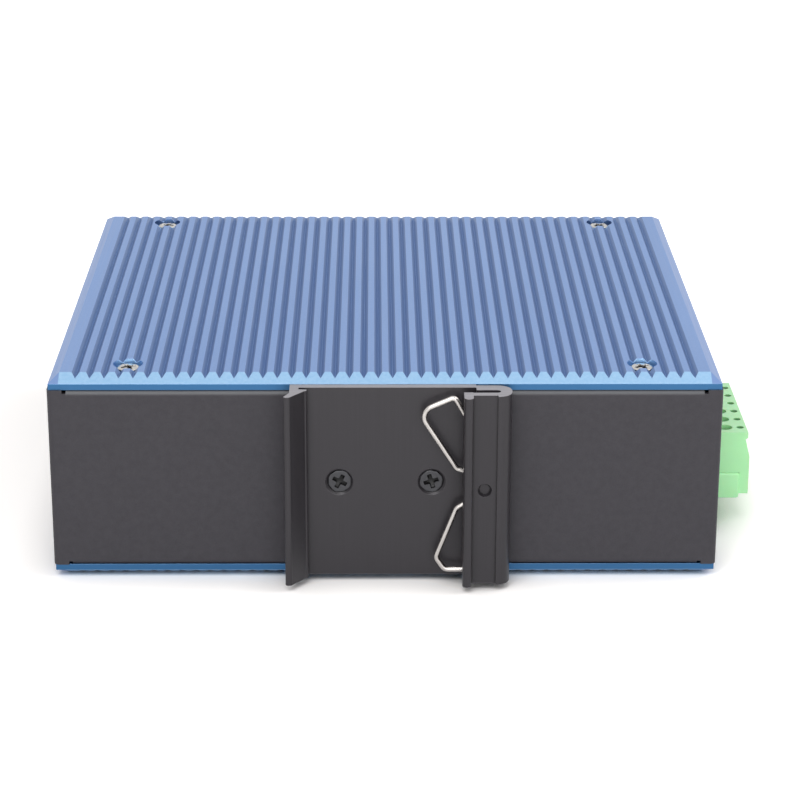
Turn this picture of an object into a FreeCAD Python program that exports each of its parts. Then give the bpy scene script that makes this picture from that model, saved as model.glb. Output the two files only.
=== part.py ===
# Industrial ethernet switch for 35 mm rail, lying on its lower cover.
# X runs along the long side of the housing, Y from the rail seat into the housing, and Z up.
# The origin is the centre of the face that the rail seats on. Lengths are in mm.
import FreeCAD, Part
import math
import os
import Sketcher

sizes = {
    # Folded chassis
    "housing_width": 138.0,
    "housing_depth": 123.0,
    "chassis_height": 38.5,
    "sheet": 1.0,
    "bend": 1.2,
    "cover_flange": 14.0,
    "end_flange": 5.0,
    "flange_slit": 0.8,
    "notch_inset": 3.15,
    "notch_width": 0.8,
    "notch_drop": 0.75,
    # Finned covers
    "cover_setback": 0.35,
    "cover_side": 1.3,
    "bevel_rise": 1.55,
    "bevel_run": 3.1,
    "bevel_side": 2.1,
    "groove_pitch": 2.94,
    "groove_opening": 1.7,
    "groove_depth": 0.85,
    "groove_margin": 5.0,
    "cover_screw_inset": 16.0,
    "cover_screw_setback": 8.7,
    "counterbore_diameter": 6.2,
    "counterbore_depth": 1.6,
    # Fasteners, all with M3 thread
    "thread": 3.0,
    "thread_gap": 0.05,
    "hole_gap": 0.2,
    "head_diameter": 4.7,
    "head_height": 1.0,
    "recess_span": 3.2,
    "recess_slot": 0.65,
    "recess_depth": 0.7,
    "cover_screw_length": 4.5,
    "panel_screw_length": 5.0,
    "nut_diameter": 5.6,
    "nut_height": 2.0,
    # Rail clip, an extrusion along Z
    "clip_length": 41.2,
    "clip_plate": 1.84,
    "rail_width": 35.0,
    "rail_sheet": 1.0,
    "rail_gap": 0.1,
    "hook_outside": 19.44,
    "hook_lip_reach": 1.8,
    "hook_tip": 3.95,
    "hook_tip_round": 0.55,
    "hook_height": 7.45,
    "hook_end_round": 0.8,
    "hook_flare": 20.56,
    "hook_flare_root": 5.2,
    "hook_crest": 19.1,
    "jaw_start": 18.4,
    "jaw_relief": 0.64,
    "slot_low": 3.45,
    "slot_high": 5.0,
    "slot_end": 23.3,
    "lip_outside": 6.65,
    "bulb_inside": 15.8,
    "bulb_width": 1.9,
    "bulb_low": 4.85,
    "bulb_high": 9.0,
    "nose_start": 22.66,
    "nose_end": 25.6,
    "nose_height": 7.45,
    "clip_screw_spread": 19.0,
    "countersink_diameter": 5.8,
    "flat_head_diameter": 5.2,
    "clip_screw_length": 5.0,
    "clip_screw_turn": 22.0,
    "stake_across": 20.2,
    "stake_mouth": 2.9,
    "stake_floor": 2.1,
    "stake_depth": 0.95,
    # Wire spring
    "wire": 1.1,
    "wire_turn": 1.8,
    "wire_waist": 3.0,
    "wire_bend": 1.2,
    "wire_tip_bend": 0.9,
    "wing_neck": 3.85,
    "upper_bend": 2.4,
    "upper_neck_height": 3.9,
    "upper_tail": 11.6,
    "upper_tip": 4.4,
    "upper_tip_height": 19.3,
    "upper_wing": 11.7,
    "upper_wing_height": 16.15,
    "lower_bend": 1.5,
    "lower_neck_height": 4.8,
    "lower_wing": 8.05,
    "lower_wing_height": 15.75,
    "lower_foot": 6.2,
    "lower_foot_height": 18.45,
    "lower_tip": 1.5,
    "lower_tail": 14.6,
    # Circuit board
    "standoff_height": 2.55,
    "standoff_flats": 5.5,
    "board_thickness": 1.6,
    "board_side_gap": 2.6,
    "board_rear_gap": 3.0,
    "board_front_gap": 3.0,
    "board_screw_inset": 12.0,
    "board_screw_rear": 22.0,
    "board_screw_front": 4.5,
    "board_screw_length": 3.8,
    "board_nut_clearance": 8.0,
    # Stacked jack, two rows of four
    "port_pitch": 13.97,
    "port_count": 4,
    "jack_side": 1.8,
    "jack_height": 25.9,
    "jack_length": 28.0,
    "jack_stand_out": 0.6,
    "jack_skin": 0.25,
    "port_width": 11.9,
    "port_height": 6.9,
    "port_depth": 14.0,
    "latch_width": 6.2,
    "latch_height": 2.4,
    "port_floor": 1.2,
    "contact_pitch": 1.02,
    "contact_width": 0.4,
    "contact_drop": 2.4,
    "contact_run": 8.0,
    "contact_set": 2.0,
    # Optical module cages
    "cage_gap": 8.0,
    "cage_pitch": 16.25,
    "cage_width": 14.25,
    "cage_height": 9.8,
    "cage_length": 46.0,
    "cage_wall": 0.35,
    "cage_stand_out": 0.8,
    "socket_width": 12.2,
    "socket_height": 5.6,
    "socket_length": 11.0,
    "socket_slot": 1.3,
    "socket_slot_side": 1.0,
    "socket_slot_back": 3.0,
    # Status lights
    "light_spacing": 7.0,
    "light_pitch": 4.2,
    "light_width": 2.4,
    "light_rise": 6.0,
    "light_setback": 11.0,
    "light_gap": 0.4,
    "led_height": 0.9,
    "led_side": 1.6,
    "led_lens": 1.2,
    # Front panel
    "panel_gap": 0.1,
    "panel_tab": 12.0,
    "panel_tab_half": 12.0,
    "panel_slit": 0.6,
    "panel_screw_setback": 7.5,
    "opening_gap": 0.35,
    # Screw terminal, header and plug
    "pole_count": 6,
    "pole_pitch": 5.08,
    "pole_margin": 3.3,
    "terminal_setback": 27.0,
    "header_out": 7.9,
    "header_length": 12.0,
    "header_height": 5.4,
    "header_wall": 1.3,
    "pin": 1.0,
    "pin_rise": 3.6,
    "pin_length": 7.6,
    "pin_leg_gap": 1.0,
    "pin_below": 1.2,
    "plug_gap": 0.25,
    "plug_out": 10.2,
    "plug_height": 9.3,
    "plug_length": 17.2,
    "plug_lip_drop": 1.3,
    "plug_lip_back": 0.5,
    "plug_notch_back": 1.0,
    "plug_slant": 4.4,
    "plug_face_height": 14.2,
    "driver_hole": 3.2,
    "driver_out": 5.0,
    "driver_depth": 3.0,
    "test_hole": 1.6,
    "test_out": 8.3,
    "entry_width": 3.6,
    "entry_height": 3.8,
    "clamp_width": 3.9,
    "clamp_length": 5.4,
    "clamp_height": 5.6,
    "clamp_wall": 0.6,
    "clamp_gap": 0.1,
    "clamp_screw": 2.6,
    "clamp_screw_length": 2.6,
    "clamp_head": 1.2,
    "clamp_slot": 0.6,
    "contact_socket": 2.2,
    "cutout_gap": 0.4,
    # Earth screw on the end wall
    "earth_setback": 84.0,
    "earth_head": 5.8,
    "washer_diameter": 7.4,
    "washer_thickness": 0.6,
    # Other board parts
    "chip_side": 20.0,
    "chip_height": 1.4,
    "magnetics_width": 12.6,
    "magnetics_length": 9.0,
    "magnetics_height": 6.0,
    "magnetics_gap": 4.0,
    "inductor_side": 10.2,
    "inductor_height": 5.0,
    "inductor_round": 1.5,
    "capacitor_diameter": 8.0,
    "capacitor_height": 10.5,
    "capacitor_base": 8.4,
    "capacitor_base_height": 1.0,
}

doc = FreeCAD.newDocument("ethernet_switch")
sheet = doc.addObject("Spreadsheet::Sheet", "sizes")
for row, (alias, number) in enumerate(sizes.items(), 1):
    sheet.set(f"A{row}", alias)
    sheet.set(f"B{row}", str(number))
    sheet.setAlias(f"B{row}", alias)
doc.recompute()


class Size:
    """A length with the spreadsheet expression that gives it."""

    def __init__(self, value, text):
        self.value = value
        self.text = text

    def __add__(self, other):
        other = asSize(other)
        return Size(self.value + other.value, f"({self.text} + {other.text})")

    def __sub__(self, other):
        other = asSize(other)
        return Size(self.value - other.value, f"({self.text} - {other.text})")

    def __mul__(self, other):
        other = asSize(other)
        return Size(self.value * other.value, f"({self.text} * {other.text})")

    def __truediv__(self, other):
        other = asSize(other)
        return Size(self.value / other.value, f"({self.text} / {other.text})")

    def __rsub__(self, other):
        return asSize(other) - self

    def __neg__(self):
        return Size(-self.value, f"(-1 * {self.text})")


def asSize(number):
    if isinstance(number, Size):
        return number
    return Size(float(number), f"({number})")


def cell(alias):
    return Size(float(sizes[alias]), f"sizes.{alias}")


def whole(size):
    return Size(math.floor(size.value), f"floor({size.text})")


def plane(body, role):
    for feature in body.Origin.OriginFeatures:
        if feature.Role == role:
            return feature


def newBody(label):
    body = doc.addObject("PartDesign::Body", label)
    body.Label = label
    return body


def newSketch(body, name, role, across, up, out):
    """A sketch on an origin plane, its own origin moved across, up and out along its normal."""
    sketch = body.newObject("Sketcher::SketchObject", name)
    sketch.AttachmentSupport = (plane(body, role), [""])
    sketch.MapMode = "FlatFace"
    offsets = [asSize(across), asSize(up), asSize(out)]
    sketch.AttachmentOffset = FreeCAD.Placement(
        FreeCAD.Vector(*[offset.value for offset in offsets]), FreeCAD.Rotation())
    for axis, offset in zip("xyz", offsets):
        sketch.setExpression(f"AttachmentOffset.Base.{axis}", offset.text)
    return sketch


def constrain(sketch, kind, size, *where):
    index = sketch.addConstraint(Sketcher.Constraint(kind, *where, size.value))
    sketch.setExpression(f"Constraints[{index}]", size.text)


def arcBetween(start, end, radius):
    """The short arc from start to end: it turns left if the radius is positive, and right if negative."""
    chord = end - start
    rise = math.sqrt(max(radius ** 2 - (chord.Length / 2) ** 2, 0.0))
    side = FreeCAD.Vector(-chord.y, chord.x, 0).normalize() * math.copysign(rise, radius)
    middle = (start + end) * 0.5 + side
    first, last = (start, end) if radius > 0 else (end, start)
    circle = Part.Circle(middle, FreeCAD.Vector(0, 0, 1), abs(radius))
    return Part.ArcOfCircle(circle, circle.parameter(first), circle.parameter(last))


def outline(sketch, corners):
    """A closed outline. A corner is (x, y), or (x, y, radius) where an arc leads to the next corner."""
    base = sketch.GeometryCount
    points = []
    for corner in corners:
        points.append(FreeCAD.Vector(asSize(corner[0]).value, asSize(corner[1]).value, 0))
    handles = []
    for index, corner in enumerate(corners):
        start = points[index]
        end = points[(index + 1) % len(points)]
        if len(corner) == 3:
            radius = asSize(corner[2]).value
            sketch.addGeometry(arcBetween(start, end, radius))
            handles.append((1, 2) if radius > 0 else (2, 1))
        else:
            sketch.addGeometry(Part.LineSegment(start, end))
            handles.append((1, 2))
    for index, corner in enumerate(corners):
        following = (index + 1) % len(corners)
        sketch.addConstraint(Sketcher.Constraint(
            "Coincident", base + index, handles[index][1], base + following, handles[following][0]))
        constrain(sketch, "DistanceX", asSize(corner[0]), -1, 1, base + index, handles[index][0])
        constrain(sketch, "DistanceY", asSize(corner[1]), -1, 1, base + index, handles[index][0])
        if len(corner) == 3:
            radius = asSize(corner[2])
            constrain(sketch, "Radius", radius if radius.value > 0 else -radius, base + index)


def circle(sketch, across, up, radius):
    across, up, radius = asSize(across), asSize(up), asSize(radius)
    middle = FreeCAD.Vector(across.value, up.value, 0)
    index = sketch.addGeometry(Part.Circle(middle, FreeCAD.Vector(0, 0, 1), radius.value))
    constrain(sketch, "DistanceX", across, -1, 1, index, 3)
    constrain(sketch, "DistanceY", up, -1, 1, index, 3)
    constrain(sketch, "Radius", radius, index)


def rectangle(left, right, low, high):
    return [(left, low), (right, low), (right, high), (left, high)]


def rounded(left, right, low, high, radius):
    return [(left + radius, low), (right - radius, low, radius), (right, low + radius),
            (right, high - radius, radius), (right - radius, high), (left + radius, high, radius),
            (left, high - radius), (left, low + radius, radius)]


def extrude(body, kind, name, axis, low, high, outlines=(), circles=()):
    """A Pad or Pocket of the drawn loops from low to high along X, Y or Z."""
    role = {"X": "YZ_Plane", "Y": "XZ_Plane", "Z": "XY_Plane"}[axis]
    low, high = asSize(low), asSize(high)
    start = -high if axis == "Y" else low
    sketch = newSketch(body, f"{name}_sketch", role, 0, 0, start)
    for corners in outlines:
        outline(sketch, corners)
    for across, up, radius in circles:
        circle(sketch, across, up, radius)
    feature = body.newObject(f"PartDesign::{kind}", name)
    feature.Profile = (sketch, [""])
    feature.setExpression("Length", (high - low).text)
    if kind == "Pocket":
        feature.Reversed = True
    body.Tip = feature
    return feature


def turn(body, kind, name, axis, centre, corners):
    """A Revolution or Groove about an axis along X, Y or Z through centre. The outline is drawn as
    (along X, radius) for X, and as (radius, along the axis) for Y and Z, both from centre."""
    across, along, up = centre
    if axis == "Z":
        sketch = newSketch(body, f"{name}_sketch", "XZ_Plane", across, up, -asSize(along))
    else:
        sketch = newSketch(body, f"{name}_sketch", "XY_Plane", across, along, up)
    outline(sketch, corners)
    feature = body.newObject(f"PartDesign::{kind}", name)
    feature.Profile = (sketch, [""])
    feature.ReferenceAxis = (sketch, ["H_Axis" if axis == "X" else "V_Axis"])
    feature.Angle = 360
    body.Tip = feature
    return feature


def block(body, name, left, right, near, far, low, high):
    """A pad of a plain rectangle."""
    return extrude(body, "Pad", name, "Z", low, high, [rectangle(left, right, near, far)])


def hollow(body, name, left, right, near, far, low, high):
    """A pocket of a plain rectangle."""
    return extrude(body, "Pocket", name, "Z", low, high, [rectangle(left, right, near, far)])


facings = {
    "up": FreeCAD.Rotation(),
    "down": FreeCAD.Rotation(FreeCAD.Vector(0, 1, 0), 180),
    "rearward": FreeCAD.Rotation(FreeCAD.Vector(1, 0, 0), 90),
    "right": FreeCAD.Rotation(FreeCAD.Vector(0, 1, 0), 90),
    "left": FreeCAD.Rotation(FreeCAD.Vector(0, 1, 0), -90),
}


def group(label, pattern, facing, places):
    """Copies of one pattern piece, each a separate solid, as one node. A place is (x, y, z, spin)."""
    copies = []
    for number, place in enumerate(places, 1):
        spot = [asSize(size) for size in place[:3]]
        spin = FreeCAD.Rotation(FreeCAD.Vector(0, 0, 1), place[3] if len(place) == 4 else 0)
        copy = doc.addObject("App::Link", f"{label}_{number}")
        copy.LinkedObject = pattern
        copy.Placement = FreeCAD.Placement(
            FreeCAD.Vector(*[size.value for size in spot]), facings[facing] * spin)
        for axis, size in zip("xyz", spot):
            copy.setExpression(f"Placement.Base.{axis}", size.text)
        copies.append(copy)
    node = doc.addObject("Part::Compound", label)
    node.Label = label
    node.Links = copies
    return node


# Places shared by several pieces
sideX = cell("housing_width") / 2
rearY = cell("clip_plate")
frontY = rearY + cell("housing_depth")
topZ = cell("chassis_height") / 2
sheetT = cell("sheet")
coverT = cell("cover_side") + cell("bevel_rise")
shankR = cell("thread") / 2 - cell("thread_gap")
boreR = cell("thread") / 2
passR = cell("thread") / 2 + cell("hole_gap")
coverScrewX = sideX - cell("cover_screw_inset")
coverScrewYs = [rearY + cell("cover_screw_setback"), frontY - cell("cover_screw_setback")]
coverSpots = [(x, y) for x in (-coverScrewX, coverScrewX) for y in coverScrewYs]
boardTop = cell("standoff_height") + cell("board_thickness") - topZ
boardLow = cell("standoff_height") - topZ
jackWidth = cell("port_pitch") * cell("port_count") + cell("jack_side")
cagesWidth = cell("cage_pitch") + cell("cage_width")
lightsWidth = cell("light_spacing") + cell("light_pitch") * 2 + cell("light_width")
jackLeft = (jackWidth + cell("cage_gap") + cagesWidth + lightsWidth) / -2
jackRight = jackLeft + jackWidth
jackFront = frontY + cell("jack_stand_out")
jackBack = jackFront - cell("jack_length")
cageLefts = [jackRight + cell("cage_gap"), jackRight + cell("cage_gap") + cell("cage_pitch")]
cageFront = frontY + cell("cage_stand_out")
firstLight = cageLefts[1] + cell("cage_width") + cell("light_spacing") + cell("light_width") / 2
lightXs = [firstLight + cell("light_pitch") * step for step in range(3)]
magneticsFar = jackBack - cell("magnetics_gap")
magneticsNear = magneticsFar - cell("magnetics_length")
terminalNear = rearY + cell("terminal_setback")
terminalFar = terminalNear + cell("pole_pitch") * (cell("pole_count") - 1) + cell("pole_margin") * 2
poleYs = []
for pole in range(int(sizes["pole_count"])):
    poleYs.append(terminalNear + cell("pole_margin") + cell("pole_pitch") * pole)
headerTop = boardTop + cell("header_height")
plugLow = headerTop + cell("plug_gap")
plugTop = plugLow + cell("plug_height")
earthY = rearY + cell("earth_setback")
earthZ = -topZ / 3
boardScrewX = sideX - cell("board_screw_inset")
boardRowRear = rearY + cell("board_screw_rear")
boardRowFront = magneticsNear - cell("board_screw_front")
boardSpots = []
for alongY in (boardRowRear, (boardRowRear + boardRowFront) / 2, boardRowFront):
    boardSpots += [(-boardScrewX, alongY), (boardScrewX, alongY)]
pinLegX = sideX + cell("header_out") - cell("header_length") - cell("pin_leg_gap") - cell("pin") / 2


def finnedCover(label):
    """Plate with sloping edges, V-grooves from rear to front and four counterbored holes."""
    body = newBody(label)
    edgeX = sideX - cell("cover_setback")
    nearY = rearY + cell("cover_setback")
    farY = frontY - cell("cover_setback")
    shoulder = topZ + cell("cover_side")
    block(body, f"{label}_plate", -edgeX, edgeX, nearY, farY, topZ, shoulder)
    foot = newSketch(body, f"{label}_foot", "XY_Plane", 0, 0, shoulder)
    outline(foot, rectangle(-edgeX, edgeX, nearY, farY))
    crest = newSketch(body, f"{label}_crest", "XY_Plane", 0, 0, topZ + coverT)
    landX = edgeX - cell("bevel_side")
    outline(crest, rectangle(-landX, landX, nearY + cell("bevel_run"), farY - cell("bevel_run")))
    bevel = body.newObject("PartDesign::AdditiveLoft", f"{label}_bevel")
    bevel.Profile = (foot, [""])
    bevel.Sections = [(crest, [""])]
    bevel.Ruled = True
    body.Tip = bevel
    count = whole((cell("housing_width") - cell("groove_margin") * 2) / cell("groove_pitch")) + 1
    first = (count - 1) * cell("groove_pitch") / -2
    half = cell("groove_opening") / 2
    high = topZ + coverT
    groove = extrude(body, "Pocket", f"{label}_groove", "Y", rearY, frontY, [
        [(first - half, high), (first, high - cell("groove_depth")), (first + half, high)]])
    row = body.newObject("PartDesign::LinearPattern", f"{label}_grooves")
    row.Originals = [groove]
    row.Direction = (groove.Profile[0], ["H_Axis"])
    row.setExpression("Length", ((count - 1) * cell("groove_pitch")).text)
    row.setExpression("Occurrences", count.text)
    body.Tip = row
    extrude(body, "Pocket", f"{label}_counterbores", "Z", high - cell("counterbore_depth"), high,
            circles=[(x, y, cell("counterbore_diameter") / 2) for x, y in coverSpots])
    extrude(body, "Pocket", f"{label}_holes", "Z", topZ, high - cell("counterbore_depth"),
            circles=[(x, y, passR) for x, y in coverSpots])
    return body


def channel(wall, end, half, thick, radius):
    """Section of a bent channel, open towards end: web at wall, legs at plus and minus half.
    It opens to the right when end is past wall, and to the left when end is before it."""
    inner = radius - thick
    side = 1 if end.value > wall.value else -1
    reach = radius * side
    web = thick * side
    turnOut = radius * side
    turnIn = inner * -side
    return [(end, -half), (end, thick - half), (wall + reach, thick - half, turnIn),
            (wall + web, radius - half), (wall + web, half - radius, turnIn),
            (wall + reach, half - thick), (end, half - thick), (end, half),
            (wall + reach, half, turnOut), (wall, half - radius), (wall, radius - half, turnOut),
            (wall + reach, -half)]


def makeChassis():
    """Rear wall with cover flanges, two end walls with flanges, upright bends and relief notches."""
    body = newBody("chassis")
    flangeX = sideX - cell("notch_inset") - cell("notch_width")
    cornerY = rearY + cell("cover_flange") + cell("flange_slit")
    lastY = frontY - cell("cover_flange") - cell("flange_slit")
    bend = cell("bend")
    extrude(body, "Pad", "rear_wall", "X", -flangeX, flangeX, [
        channel(rearY, rearY + cell("cover_flange"), topZ, sheetT, bend)])
    for side, edge in ((-1, "left"), (1, "right")):
        wall = sideX * side
        inward = wall - cell("end_flange") * side
        extrude(body, "Pad", f"{edge}_wall", "Y", cornerY, lastY, [channel(wall, inward, topZ, sheetT, bend)])
        inner = wall - sheetT * side
        lowX, highX = (wall, inner) if side < 0 else (inner, wall)
        block(body, f"{edge}_wall_end", lowX, highX, lastY, frontY, -topZ, topZ)
        extrude(body, "Pad", f"{edge}_corner", "Z", -topZ, topZ, [[
            (flangeX * side, rearY), (wall - bend * side, rearY, bend * side), (wall, rearY + bend),
            (wall, cornerY), (inner, cornerY), (inner, rearY + bend, (sheetT - bend) * side),
            (wall - bend * side, rearY + sheetT), (flangeX * side, rearY + sheetT)]])
        notch = [flangeX * side, (flangeX + cell("notch_width")) * side]
        for name, low, high in (("low", -topZ, cell("notch_drop") - topZ),
                                ("high", topZ - cell("notch_drop"), topZ)):
            hollow(body, f"{edge}_{name}_notch", notch[0], notch[1], rearY, rearY + sheetT, low, high)
    spread = cell("clip_screw_spread") / 2
    extrude(body, "Pocket", "clip_holes", "Y", rearY, rearY + sheetT,
            circles=[(-spread, 0, passR), (spread, 0, passR)])
    rearScrews = [(-coverScrewX, coverScrewYs[0], passR), (coverScrewX, coverScrewYs[0], passR)]
    extrude(body, "Pocket", "upper_cover_holes", "Z", topZ - sheetT, topZ, circles=rearScrews)
    extrude(body, "Pocket", "lower_cover_holes", "Z", -topZ, sheetT - topZ, circles=rearScrews)
    panelScrewY = frontY - cell("panel_screw_setback")
    panelScrewZ = cell("panel_tab_half") / 2
    for edge, near, far in (("left", -sideX, sheetT - sideX), ("right", sideX - sheetT, sideX)):
        extrude(body, "Pocket", f"{edge}_panel_holes", "X", near, far,
                circles=[(panelScrewY, -panelScrewZ, passR), (panelScrewY, panelScrewZ, passR)])
    extrude(body, "Pocket", "earth_hole", "X", sideX - sheetT, sideX, circles=[(earthY, earthZ, passR)])
    gap = cell("cutout_gap")
    hollow(body, "terminal_cutout", sideX - sheetT, sideX, terminalNear - gap, terminalFar + gap,
           boardTop - gap, plugTop + gap)
    return body


def makeFrontPanel():
    """Panel between the end walls, with cover flanges, side tabs and the port openings."""
    body = newBody("front_panel")
    edgeX = sideX - sheetT - cell("panel_gap")
    bend = cell("bend")
    flangeX = edgeX - bend - cell("panel_slit")
    tabHalf = cell("panel_tab_half")
    faceY = frontY - sheetT
    extrude(body, "Pad", "face", "X", -flangeX, flangeX, [
        channel(frontY, frontY - cell("cover_flange"), topZ, sheetT, bend)])
    for side, edge in ((-1, "left"), (1, "right")):
        wall = edgeX * side
        root = flangeX * side
        inner = wall - sheetT * side
        tabEnd = frontY - cell("panel_tab")
        corners = [(root, faceY), (wall - bend * side, faceY), (inner, frontY - bend), (inner, tabEnd),
                   (wall, tabEnd), (wall, frontY - bend), (wall - bend * side, frontY), (root, frontY)]
        corners[1] += ((sheetT - bend) * side,)
        corners[5] += (bend * side,)
        extrude(body, "Pad", f"{edge}_tab", "Z", -tabHalf, tabHalf, [corners])
        for name, low, high in (("low", bend - topZ, -tabHalf - cell("panel_slit")),
                                ("high", tabHalf + cell("panel_slit"), topZ - bend)):
            block(body, f"{edge}_{name}_strip", root, wall, faceY, frontY, low, high)
    frontScrews = [(-coverScrewX, coverScrewYs[1], passR), (coverScrewX, coverScrewYs[1], passR)]
    extrude(body, "Pocket", "upper_cover_holes", "Z", topZ - sheetT, topZ, circles=frontScrews)
    extrude(body, "Pocket", "lower_cover_holes", "Z", -topZ, sheetT - topZ, circles=frontScrews)
    for side, edge in ((-1, "left"), (1, "right")):
        inner = (edgeX - sheetT) * side
        low, high = (-edgeX, inner) if side < 0 else (inner, edgeX)
        extrude(body, "Pocket", f"{edge}_tab_holes", "X", low, high,
                circles=[(frontY - cell("panel_screw_setback"), -tabHalf / 2, passR),
                         (frontY - cell("panel_screw_setback"), tabHalf / 2, passR)])
    gap = cell("opening_gap")
    ports = [rectangle(jackLeft - gap, jackRight + gap, boardTop - gap, boardTop + cell("jack_height") + gap)]
    for left in cageLefts:
        ports.append(rectangle(left - gap, left + cell("cage_width") + gap,
                               boardTop - gap, boardTop + cell("cage_height") + gap))
    half = cell("light_width") / 2 + cell("panel_gap")
    rise = boardTop + cell("light_rise")
    for across in lightXs:
        ports.append(rectangle(across - half, across + half, rise - half, rise + half))
    extrude(body, "Pocket", "ports", "Y", faceY, frontY, ports)
    return body


def makeClip():
    """Extruded clip: fixed hook on the left, slotted jaw on the right, then drilled and staked."""
    body = newBody("din_clip")

    def depth(alias):
        return rearY - cell(alias)

    railLeft = -(cell("rail_width") / 2 + cell("rail_gap"))
    lipLow = -(cell("rail_sheet") + cell("rail_gap"))
    lipTip = railLeft + cell("hook_lip_reach")
    wall = cell("hook_outside")
    noseR = cell("nose_end") - cell("nose_start")
    bulbR = cell("bulb_width") / 2
    bulbX = cell("bulb_inside") + bulbR
    bulbTop = depth("bulb_high")
    slotR = (cell("slot_high") - cell("slot_low")) / 2
    slotMiddle = rearY - (cell("slot_high") + cell("slot_low")) / 2
    extrude(body, "Pad", "extrusion", "Z", cell("clip_length") / -2, cell("clip_length") / 2, [[
        (-wall, rearY), (-wall, depth("hook_flare_root")),
        (-cell("hook_flare"), depth("hook_height"), cell("hook_end_round")),
        (-cell("hook_crest"), depth("hook_height")),
        (lipTip - cell("hook_tip_round"), depth("hook_tip"), cell("hook_tip_round")),
        (lipTip - cell("hook_tip_round") / 2, lipLow - cell("rail_gap")), (railLeft, lipLow), (railLeft, 0),
        (cell("jaw_start"), 0), (cell("jaw_start"), depth("slot_low")),
        (cell("slot_end") - slotR, depth("slot_low"), -slotR), (cell("slot_end"), slotMiddle, -slotR),
        (cell("slot_end") - slotR, depth("slot_high")), (bulbX + bulbR, depth("slot_high")),
        (bulbX + bulbR, depth("bulb_low")), (cell("bulb_inside"), depth("bulb_low")),
        (cell("bulb_inside"), bulbTop + bulbR, bulbR), (bulbX, bulbTop, bulbR),
        (bulbX + bulbR, bulbTop + bulbR), (bulbX + bulbR, depth("lip_outside")),
        (cell("nose_start"), depth("lip_outside")), (cell("nose_start"), depth("nose_height"), noseR),
        (cell("nose_end"), depth("nose_height") + noseR), (cell("nose_end"), depth("jaw_relief") - noseR, noseR),
        (cell("nose_start"), depth("jaw_relief")), (cell("jaw_start"), depth("jaw_relief")),
        (cell("jaw_start"), rearY)]])
    sinkR = cell("countersink_diameter") / 2
    for name, across in (("left", -cell("clip_screw_spread") / 2), ("right", cell("clip_screw_spread") / 2)):
        turn(body, "Groove", f"{name}_countersink", "Y", (across, 0, 0), [
            (0, 0), (sinkR, 0), (passR, sinkR - passR), (passR, rearY), (0, rearY)])
    mouthR = cell("stake_mouth") / 2
    floorR = cell("stake_floor") / 2
    face = depth("lip_outside")
    turn(body, "Groove", "stake_pit", "Y", (cell("stake_across"), face, 0), [
        (0, 0), (mouthR, 0), (floorR, cell("stake_depth")), (0, cell("stake_depth"))])
    turn(body, "Revolution", "stake_bump", "Y", (cell("stake_across"), depth("slot_high"), 0), [
        (0, cell("stake_depth")), (0, 0), (floorR, 0), (floorR, cell("stake_depth"))])
    return body


def bentWire(points, radii, radius):
    """A round wire along straight runs joined by tangent arcs, one arc radius for each inner point."""
    start = points[0]
    heading = (points[1] - points[0]).normalize()
    section = Part.Face(Part.Wire([Part.makeCircle(radius, start, heading)]))
    lengths = []
    for index in range(1, len(points) - 1):
        corner = points[index]
        after = (points[index + 1] - corner).normalize()
        turned = heading.getAngle(after)
        back = radii[index - 1] * math.tan(turned / 2)
        first = corner - heading * back
        if (first - start).Length > 0.001:
            lengths.append(section.extrude(first - start))
            section.translate(first - start)
        axis = heading.cross(after).normalize()
        middle = first + axis.cross(heading) * radii[index - 1]
        lengths.append(section.revolve(middle, axis, math.degrees(turned)))
        section.rotate(middle, axis, math.degrees(turned))
        start = corner + after * back
        heading = after
    lengths.append(section.extrude(points[-1] - start))
    return lengths[0].multiFuse(lengths[1:])


def makeSpring():
    """Bent wire: a square loop round the staked bump, two wings across the mouth, two tails in the slot."""
    level = cell("clip_plate") - (cell("slot_low") + cell("slot_high")) / 2
    wallX = sizes["jaw_start"]
    stakeX = sizes["stake_across"]
    turnR = sizes["wire_turn"]
    waistZ = sizes["wire_waist"]
    neckX = wallX - sizes["wing_neck"]
    slotX = wallX - turnR / 2
    bendR = sizes["wire_bend"]
    tipR = sizes["wire_tip_bend"]
    route = [
        (wallX, sizes["upper_tail"], 0),
        (wallX - sizes["upper_tip"], sizes["upper_tip_height"], tipR),
        (wallX - sizes["upper_wing"], sizes["upper_wing_height"], sizes["upper_bend"]),
        (neckX, sizes["upper_neck_height"], bendR),
        (slotX, waistZ, bendR),
        (stakeX + turnR, waistZ, turnR),
        (stakeX + turnR, -waistZ, turnR),
        (slotX, -waistZ, bendR),
        (neckX, -sizes["lower_neck_height"], bendR),
        (wallX - sizes["lower_wing"], -sizes["lower_wing_height"], sizes["lower_bend"]),
        (wallX - sizes["lower_foot"], -sizes["lower_foot_height"], sizes["lower_bend"]),
        (wallX - sizes["lower_tip"], -sizes["lower_foot_height"], tipR),
        (wallX, -sizes["lower_tail"], 0)]
    points = [FreeCAD.Vector(across, level.value, up) for across, up, radius in route]
    radii = [radius for across, up, radius in route[1:-1]]
    spring = doc.addObject("Part::Feature", "rail_spring")
    spring.Label = "rail_spring"
    spring.Shape = bentWire(points, radii, sizes["wire"] / 2)
    return spring


def crossRecess(body, name, top):
    """Cross-shaped driver recess cut down from top, about the Z axis."""
    span = cell("recess_span") / 2
    slot = cell("recess_slot") / 2
    extrude(body, "Pocket", name, "Z", top - cell("recess_depth"), top, [[
        (-slot, -span), (slot, -span), (slot, -slot), (span, -slot), (span, slot), (slot, slot),
        (slot, span), (-slot, span), (-slot, slot), (-span, slot), (-span, -slot), (-slot, -slot)]])


def panScrew(label, headDiameter, length):
    """Low head screw along Z, its head seated on Z = 0."""
    body = newBody(label)
    headR = headDiameter / 2
    high = cell("head_height")
    turn(body, "Revolution", f"{label}_turned", "Z", (0, 0, 0), [
        (0, -length), (shankR, -length), (shankR, 0), (headR, 0), (headR, high), (0, high)])
    crossRecess(body, f"{label}_recess", high)
    return body


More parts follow.
